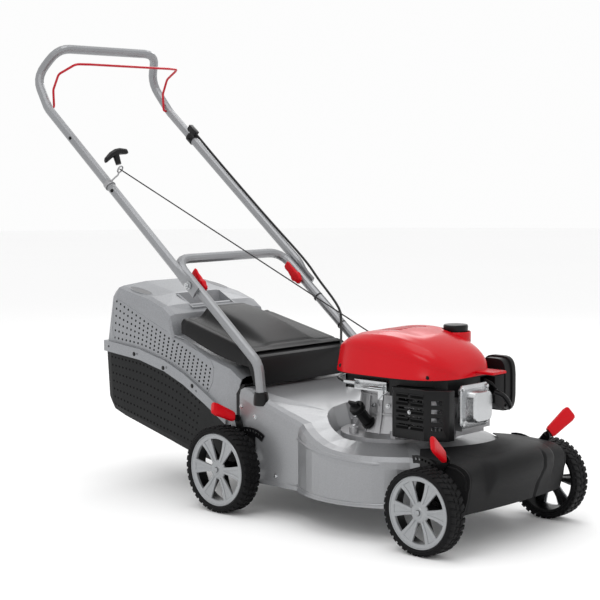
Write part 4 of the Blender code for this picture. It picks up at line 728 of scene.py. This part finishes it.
def build_catcher():
    # Each hole is drawn as a dark disc: painted shade, not an opening.
    lid_hole_shade, tub_hole_shade = bmesh.new(), bmesh.new()
    for side in SIDE_NAME:
        hole_shade_rows(lid_hole_shade, "catcher_upper", UPPER_HOLES, 6, 24, side, 0.0028, 0.011)
        hole_shade_rows(tub_hole_shade, "catcher_lower", LOWER_HOLES, 7, 25, side, 0.0026, -0.012)
    piece_from(lid_hole_shade, "lid_hole_shade_discs", "catcher", HOLE_SHADE_PAINT, 0)
    piece_from(tub_hole_shade, "tub_hole_shade_discs", "catcher", HOLE_SHADE_PAINT, 0)

    lid = surface_of("catcher_upper")
    screws, edge = bmesh.new(), bmesh.new()
    for side in SIDE_NAME:
        for y, z in BAND_SCREWS:
            hit, normal = drop_from_side(lid, side, y, z)
            stud(screws, hit, normal, 0.0036, 0.0012, 16, 0.1)
        tube(edge, panel_outline(side, lid), 0.0014, 8)
    piece_from(screws, "band_screws", "catcher", IRON, 30)
    piece_from(edge, "panel_bead", "catcher", CATCHER, 50)

    for side, word in SIDE_NAME.items():
        hit, normal = drop(lid, (side * OVAL_AT[0], OVAL_AT[1], 0.6), -Z)
        along = (Y - normal * normal.y).normalized()
        across = normal.cross(along)
        oval, rim = bmesh.new(), bmesh.new()
        loops = [ring(hit + normal * h, along, across, a, b, 40) for a, b, h in
                 ((0.0410, 0.0150, -0.0006), (0.0410, 0.0150, 0.0004), (0.0395, 0.0138, 0.0010),
                  (0.0375, 0.0122, 0.0004), (0.0375, 0.0122, -0.0006))]
        skin(rim, loops + [loops[0]], caps=False)
        skin(oval, [ring(hit + normal * h, along, across, 0.0376, 0.0123, 40) for h in (-0.0005, 0.0003)])
        piece_from(rim, "oval_rim_" + word, "catcher", CATCHER, 40)
        piece_from(oval, "oval_dish_" + word, "catcher", OVAL, 40)


# ---------------------------------------------------------------- deck
# Points (y, z) on the skirt, from the rear to the front.
UPPER_BEAD = ((-0.188, 0.1850), (-0.235, 0.1790), (-0.300, 0.1725), (-0.375, 0.1655), (-0.430, 0.1615),
              (-0.470, 0.1595))
LOWER_BEAD = ((-0.150, 0.0835), (-0.235, 0.0790), (-0.340, 0.0765), (-0.440, 0.0765), (-0.480, 0.0775))
DECK_BOLTS = ((-0.0377, 0.2348), (-0.0804, 0.2159), (-0.1444, 0.0923))


def along_skirt(tree, points, side):
    """Points and normals on the skirt, eight to each stretch."""
    path = []
    steps = (len(points) - 1) * 8
    for i in range(steps + 1):
        k = i / steps * (len(points) - 1)
        j = min(int(k), len(points) - 2)
        y, z = Vector(points[j]).lerp(Vector(points[j + 1]), k - j)
        hit, normal = drop_from_side(tree, side, y, z)
        if hit is not None:
            path.append((hit, normal))
    return path


def bead(bm, path, radius, sides=10):
    """Rolled ridge that grows out of the sheet and dies away at both ends."""
    loops = []
    for i, (p, n) in enumerate(path):
        ahead = path[min(i + 1, len(path) - 1)][0] - path[max(i - 1, 0)][0]
        u, v = frame_along(ahead, n)
        from_end = min(i, len(path) - 1 - i) / (len(path) * 0.16)
        r = radius * min(1.0, 0.25 + from_end)
        loops.append(ring(p - n * (radius - r + radius * 0.45), u, v, r * 1.4, r, sides))
    skin(bm, loops)


def build_deck_details():
    tree = surface_of("deck")
    beads, bolts = bmesh.new(), bmesh.new()
    for side in SIDE_NAME:
        bead(beads, along_skirt(tree, UPPER_BEAD, side), 0.0030)
        bead(beads, along_skirt(tree, LOWER_BEAD, side), 0.0022)
        for y, z in DECK_BOLTS:
            hit, normal = drop_from_side(tree, side, y, z)
            if hit is not None:
                stud(bolts, hit, normal, 0.0038, 0.0030, 6, 0.4)
    piece_from(beads, "deck_beads", "chassis", SILVER, 50)
    piece_from(bolts, "deck_bolts", "chassis", ZINC, 30)


# ---------------------------------------------------------------- front cover
NOSE_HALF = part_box("fascia")[1].x
NOSE_WALL = 0.0024
FRONT_AXLE_Y = (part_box("tyre_front_right")[0].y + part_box("tyre_front_right")[1].y) / 2
BROW_ROWS = 2  # rows of the profile on the flat top, before the brow turns down
GROOVE_X, GROOVE_HALF, GROOVE_DEPTH = 0.060, 0.0045, 0.0040
EDGE_ROLL = 0.006


def nose_profile(x):
    """Profile (y, z) of the front cover at x, from the top's rear edge over a rounded brow to the chin."""
    k = min(abs(x) / NOSE_HALF, 1.0)
    middle = step_down(k - 0.65, 70)
    nose = (-0.102 + 0.010 * (k / 0.62) ** 2) * middle + (-0.080 + 0.003 * k) * (1 - middle)
    chin = -0.071 + 0.010 * k ** 2
    crown = 0.1962 - 0.013 * k ** 2
    rear = 0.005 + 0.080 * (k / 0.74) ** 2 if k < 0.74 else 0.085 - 0.035 * (k - 0.74) / 0.26
    edge = crown - 0.017
    points = [
        (rear, crown), (rear - 0.004 if rear > nose + 0.06 else rear, crown),
        (nose + 0.038, edge + 0.0135), (nose + 0.024, edge + 0.0100), (nose + 0.012, edge + 0.0045),
        (nose + 0.004, edge - 0.0030), (nose + 0.0004, edge - 0.0120), (nose + 0.0010, edge - 0.0300),
        ((nose + chin) / 2 - 0.004, 0.128), (chin - 0.010, 0.113), (chin - 0.003, 0.090), (chin, 0.080),
    ]
    return [(FRONT_AXLE_Y + y, z) for y, z in points]


def build_fascia():
    half = NOSE_HALF - 0.0004
    count = 96
    rows = []
    for i in range(count + 1):
        x = half * (-1 + 2 * i / count)
        groove = GROOVE_DEPTH * math.exp(-((x - GROOVE_X) / GROOVE_HALF) ** 4)
        edge = min(1.0, (half - abs(x)) / EDGE_ROLL)
        dip = 0.004 * (1 - math.sqrt(max(0.0, 1 - (1 - edge) ** 2)))
        row = []
        for j, (y, z) in enumerate(nose_profile(x)):
            inward = (groove if j > 4 else 0.0) + (dip if j >= BROW_ROWS else 0.0)
            row.append((x, y + inward, z - (dip if j < 6 else 0.0)))
        rows.append(row)
    bm = bmesh.new()
    sheet(bm, rows)
    cover = piece_from(bm, "nose_cover", "chassis", GREY, 42)
    thicken(cover, NOSE_WALL, 42)
    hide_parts("fascia")

    loop = nose_profile(half)
    outline = loop + [(loop[0][0], 0.0800)]
    for side, word in SIDE_NAME.items():
        bm = bmesh.new()
        skin(bm, [[(side * (half + out), y, z) for y, z in outline] for out in (-0.0028, 0.0002)])
        piece_from(bm, "nose_cheek_" + word, "chassis", GREY, 30)
        bm = bmesh.new()
        x = side * (half - 0.0002)
        path = [Vector((x, loop[2][0] + 0.045, 0.1760))]
        path += [Vector((x, y + 0.010, z - 0.006)) for y, z in loop[3:8]]
        tube(bm, path, 0.0022, 8)
        piece_from(bm, "cheek_bead_" + word, "chassis", GREY, 50)


# ---------------------------------------------------------------- handle feet and fittings
HANDLE_SLOPE = math.radians(38.8)
TUBE_R = 0.0112
FOOT_PROFILE = ((0.0180, 0), (0.0190, 0.0040), (0.0182, 0.0150), (0.0165, 0.0230), (0.0142, 0.0285),
                (0.0118, 0.0290), (0.0118, 0.0200))
HANDLE_SCREWS = ((-0.2089, 0.3729, 0.7142), (-0.2089, 0.5300, 0.8400), (0.2089, 0.3729, 0.7142))
CABLE_TIES = ((0.1751, 0.0559, 0.4588), (0.1751, -0.0200, 0.3950))
TIE_PROFILE = ((-0.0016, 0.0113), (-0.0016, 0.0121), (0.0016, 0.0121), (0.0016, 0.0113))


def build_feet():
    for side in (LEFT, RIGHT):
        word = SIDE_NAME[side]
        low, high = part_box("socket_" + word)
        centre = (low + high) / 2
        widest = (high.x - low.x) / 2
        bm = bmesh.new()
        skin(bm, [ring((centre.x, centre.y, low.z + up), X, Y, min(r, widest), r, 40)
                  for r, up in FOOT_PROFILE])
        collar = piece_from(bm, "foot_collar_" + word, "chassis", BLACK, 34)
        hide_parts("socket_" + word)


def build_fittings():
    upper, lower = surface_of("upper_handle"), surface_of("lower_handle")
    bm = bmesh.new()
    for x, y, z in HANDLE_SCREWS:
        hit, normal, _, _ = upper.find_nearest(Vector((x + math.copysign(0.02, x), y - 0.006, z + 0.006)))
        stud(bm, hit, normal, 0.0030, 0.0022, 12)
    piece_from(bm, "handle_screws", "handle", IRON, 30)
    bm = bmesh.new()
    run = Vector((0, math.cos(HANDLE_SLOPE), math.sin(HANDLE_SLOPE)))
    u, v = frame_along(run)
    for at in CABLE_TIES:
        hit, normal, _, _ = lower.find_nearest(Vector(at))
        middle = hit - normal * TUBE_R
        skin(bm, [ring(middle + run * d, u, v, r, r, 28) for d, r in TIE_PROFILE])
    piece_from(bm, "cable_ties", "chassis", BLACK, 34)


# ---------------------------------------------------------------- engine details
CRANK = (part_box("crankshaft")[0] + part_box("crankshaft")[1]) / 2
CASE_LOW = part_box("crankcase")[0].z
RIB_ANGLES = (150, 172, 194, 216, 238, 262, 122, 98, 60, 30, 0, 330)
RIB_PROFILE = ((0.0985, 0.0150), (0.0885, 0.0480), (0.0832, 0.0980))  # outer radius, height over the case
RIB_ROOT, RIB_HALF = 0.076, 0.0020
BAND_PROFILE = ((-0.0022, -0.004), (-0.0018, 0.0), (0.0018, 0.0), (0.0022, -0.004))
UPPER_ROD = ((0.004, -0.392, 0.3085), (0.001, -0.372, 0.3062), (0, -0.350, 0.3050), (0, -0.322, 0.3045),
             (0.004, -0.296, 0.3040))
LOWER_ROD = ((0.010, -0.398, 0.2960), (0.006, -0.385, 0.2860), (0.008, -0.372, 0.2720),
             (0.022, -0.366, 0.2600))
SPRING_START = (-0.001, -0.3450, 0.3000)
PLUG_LEAD = ((0.040, -0.556, 0.2860), (0.046, -0.566, 0.2900), (0.047, -0.568, 0.3000),
             (0.042, -0.560, 0.3120), (0.034, -0.545, 0.3200))
ROD_R = 0.0011
COIL_R, COIL_WIRE_R, COIL_ADVANCE, COIL_STEP, COIL_POINTS = 0.0018, 0.00055, 0.00072, 0.42, 110
LEAD_R = 0.0032


def build_case_ribs():
    bm = bmesh.new()
    for angle in RIB_ANGLES:
        c, s = math.cos(math.radians(angle)), math.sin(math.radians(angle))
        out, across = Vector((c, s, 0)), Vector((-s, c, 0)) * RIB_HALF
        loops = []
        for reach, up in RIB_PROFILE:
            base = Vector((0, CRANK.y, CASE_LOW + up))
            loops.append([base + out * RIB_ROOT - across, base + out * reach - across * 0.7,
                          base + out * reach + across * 0.7, base + out * RIB_ROOT + across])
        skin(bm, loops)
    for up, r in ((0.0560, 0.0858), (0.0950, 0.0836)):
        lathe(bm, CRANK, [(r + grow, CASE_LOW + up + h) for h, grow in BAND_PROFILE], 72, looped=True)
    piece_from(bm, "case_ribs", "chassis", CAST, 32)


def build_engine_bolts():
    bm = bmesh.new()
    for angle in (20, 100, 160, 215, 325):
        out = Vector((math.cos(math.radians(angle)), math.sin(math.radians(angle)), 0))
        stud(bm, Vector((0, CRANK.y, CASE_LOW + 0.0240)) + out * 0.112, Z, 0.0052, 0.0048)
    for angle in (180, 204, 232):
        out = Vector((math.cos(math.radians(angle)), math.sin(math.radians(angle)), 0))
        stud(bm, Vector((0, CRANK.y, CASE_LOW + 0.0740)) + out * 0.0855, out, 0.0034, 0.0040)
    low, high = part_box("valve_cover")
    for x in (low.x + 0.008, high.x - 0.008):
        for z in (low.z + 0.008, high.z - 0.008):
            stud(bm, (x, low.y + 0.0236, z), -Y, 0.0036, 0.0032)
    piece_from(bm, "engine_bolts", "chassis", ZINC, 30)


def build_links():
    """Two governor rods and a spring on the brake bracket's outer face, and the spark plug's lead."""
    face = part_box("brake_bracket")[0].x - 0.0012
    bm = bmesh.new()
    for rod in (UPPER_ROD, LOWER_ROD):
        tube(bm, [Vector((face + x, y, z)) for x, y, z in rod], ROD_R, 8)
    start = Vector(SPRING_START) + X * face
    turns = [i * COIL_STEP for i in range(COIL_POINTS)]
    coil = [start + Vector((COIL_R * math.cos(t), COIL_ADVANCE * t, COIL_R * math.sin(t))) for t in turns]
    tube(bm, coil, COIL_WIRE_R, 5)
    piece_from(bm, "governor_links", "chassis", ZINC, 60)

    bm = bmesh.new()
    tube(bm, PLUG_LEAD, LEAD_R, 10)
    piece_from(bm, "plug_lead", "chassis", BLACK, 50)


def build_muffler_guard():
    """Rows of louvres on the guard's outer face, with painted shade as dark boxes in their mouths, and its
    screw.
    """
    low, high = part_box("muffler_guard")
    face = low.x
    rear = high.y - 0.012
    mouth_height, hood_height = 0.0072, 0.0022
    frames, mouth_shade = bmesh.new(), bmesh.new()
    for row in range(5):
        z = low.z + 0.020 + 0.0165 * row
        for y0, y1 in ((rear - 0.036, rear - 0.004), (rear - 0.076, rear - 0.042)):
            # A dark box in each louvre's mouth: painted shade for the space behind the opening.
            loop = [(y0, z), (y1, z), (y1, z + mouth_height), (y0, z + mouth_height)]
            skin(mouth_shade, [[(x, y, h) for y, h in loop] for x in (face - 0.00012, face + 0.0012)])
            foot = z + mouth_height
            hood = [(y0 - 0.001, foot), (y1 + 0.001, foot), (y1 + 0.001, foot + hood_height),
                    (y0 - 0.001, foot + hood_height)]
            skin(frames, [[(face + out, y, h - sag) for y, h in hood]
                          for out, sag in ((0.001, 0), (-0.0016, 0.0012))])
    piece_from(mouth_shade, "guard_mouth_shade", "chassis", HOLE_SHADE_PAINT, 0)
    piece_from(frames, "guard_hoods", "chassis", IRON, 30)
    bm = bmesh.new()
    stud(bm, (face, rear - 0.039, low.z + 0.056), -X, 0.0030, 0.0030, 6)
    piece_from(bm, "guard_screw", "chassis", ZINC, 30)


# ---------------------------------------------------------------- rolled edges
# Node and the radius its edges are rolled to.
ROLLED = (
    ("muffler_guard", 0.0030), ("valve_cover", 0.0012), ("fuel_cap", 0.0012), ("flap_hinge", 0.0014),
    ("air_cleaner_cover", 0.0010), ("air_cleaner_base", 0.0020), ("cable_bracket", 0.0008),
    ("rope_guide", 0.0005), ("cam_left", 0.0010), ("cam_right", 0.0010),
)
SHARPER_THAN = math.radians(25)
FLATTER_THAN = math.radians(2)


def rounded(name, width):
    """Stands for a node with its edges rolled over."""
    source = nodes[name]
    mesh = source.data.copy()
    obj = bpy.data.objects.new(name + "_finish", mesh)
    bpy.context.scene.collection.objects.link(obj)
    bm = bmesh.new()
    bm.from_mesh(mesh)
    bmesh.ops.remove_doubles(bm, verts=bm.verts, dist=0.00002)
    bmesh.ops.dissolve_limit(bm, angle_limit=FLATTER_THAN, verts=bm.verts, edges=bm.edges)
    bm.to_mesh(mesh)
    bm.free()
    roll = obj.modifiers.new("roll", "BEVEL")
    roll.width = width
    roll.segments = 3
    roll.limit_method = "ANGLE"
    roll.angle_limit = SHARPER_THAN
    roll.use_clamp_overlap = True
    roll.harden_normals = False
    settle(obj, 50)
    obj.data.materials.clear()
    obj.data.materials.append(source.data.materials[0])
    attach(obj, source["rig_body"])
    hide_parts(name)


# ---------------------------------------------------------------- rear flap
FLAP_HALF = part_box("rear_flap")[1].x
FLAP_REACH, FLAP_WALL = 0.240, 0.0024
FLAP_RISE, FLAP_TAPER = 0.058, 0.072
HINGE_Y, HINGE_Z = -0.0421, 0.338
KNUCKLE_R = 0.0072
WRAP = math.pi / 2 * 0.92  # bunches the columns towards the flap's edges


def flap_row(k, columns):
    """Points across the flap at share k of its reach: skirt, domed top with its creases, skirt."""
    y = HINGE_Y + 0.004 + FLAP_REACH * k
    half = FLAP_HALF * (1 - FLAP_TAPER * k) - 0.0006
    base = HINGE_Z + 0.004 + FLAP_RISE * k
    dome = 0.026 * math.sin(math.pi * min(k * 0.62, 1.0)) * min(1.0, k / 0.06)
    creases = 0.0012 * bell((k - 0.965) / 0.02) + 0.0022 * bell((k - 0.095) / 0.012)
    row = []
    for j in range(columns + 1):
        x = half * math.sin((-1 + 2 * j / columns) * WRAP) / math.sin(WRAP)
        u = abs(x) / half
        rolled = 0.0090 * max(0.0, (u - 0.93) / 0.07) ** 2
        crease = creases + 0.0008 * bell((u - 0.86) / 0.016)
        row.append((x, y, base + 0.012 + dome * step_down(u - 0.50, 26) - rolled - crease))
    skirt = 0.022 + 0.008 * math.sin(math.pi * min(k * 1.1, 1.0))
    side = half + 0.0006
    low, high = base - skirt, base + 0.002
    return [(-side, y, low), (-side, y, high)] + row + [(side, y, high), (side, y, low)]


def build_flap():
    bm = bmesh.new()
    rows = 60
    sheet(bm, [flap_row(i / rows, 72) for i in range(rows + 1)])
    lid = piece_from(bm, "flap_cover", None, FLAP, 40)
    thicken(lid, FLAP_WALL, 40)
    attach(lid, "flap")
    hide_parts("rear_flap")

    bm = bmesh.new()
    for x0, x1 in ((-FLAP_HALF + 0.004, -0.060), (-0.052, 0.052), (0.060, FLAP_HALF - 0.004)):
        skin(bm, [ring((x, HINGE_Y, HINGE_Z), Y, Z, r, r, 28) for x, r in
                  ((x0, 0.0060), (x0 + 0.001, KNUCKLE_R), (x1 - 0.001, KNUCKLE_R), (x1, 0.0060))])
    half, thick = FLAP_HALF - 0.005, 0.0015
    loops = []
    for back, rise in ((0, 0.0035), (0.006, 0.0085), (0.014, 0.0125)):
        y, z = HINGE_Y + back, HINGE_Z + rise
        section = ((-half, -thick), (half, -thick), (half, thick), (-half, thick))
        loops.append([(x, y, z + up) for x, up in section])
    skin(bm, loops)
    piece_from(bm, "flap_knuckles", "flap", FLAP, 40)


camera()
studio()
dress_nodes()
build_cowl()
for wheel_tag in ("front_left", "front_right", "rear_left", "rear_right"):
    build_wheel(wheel_tag)
build_catcher()
build_deck_details()
build_fascia()
build_feet()
build_fittings()
build_case_ribs()
build_engine_bolts()
build_links()
build_muffler_guard()
build_flap()
for node, edge_radius in ROLLED:
    rounded(node, edge_radius)
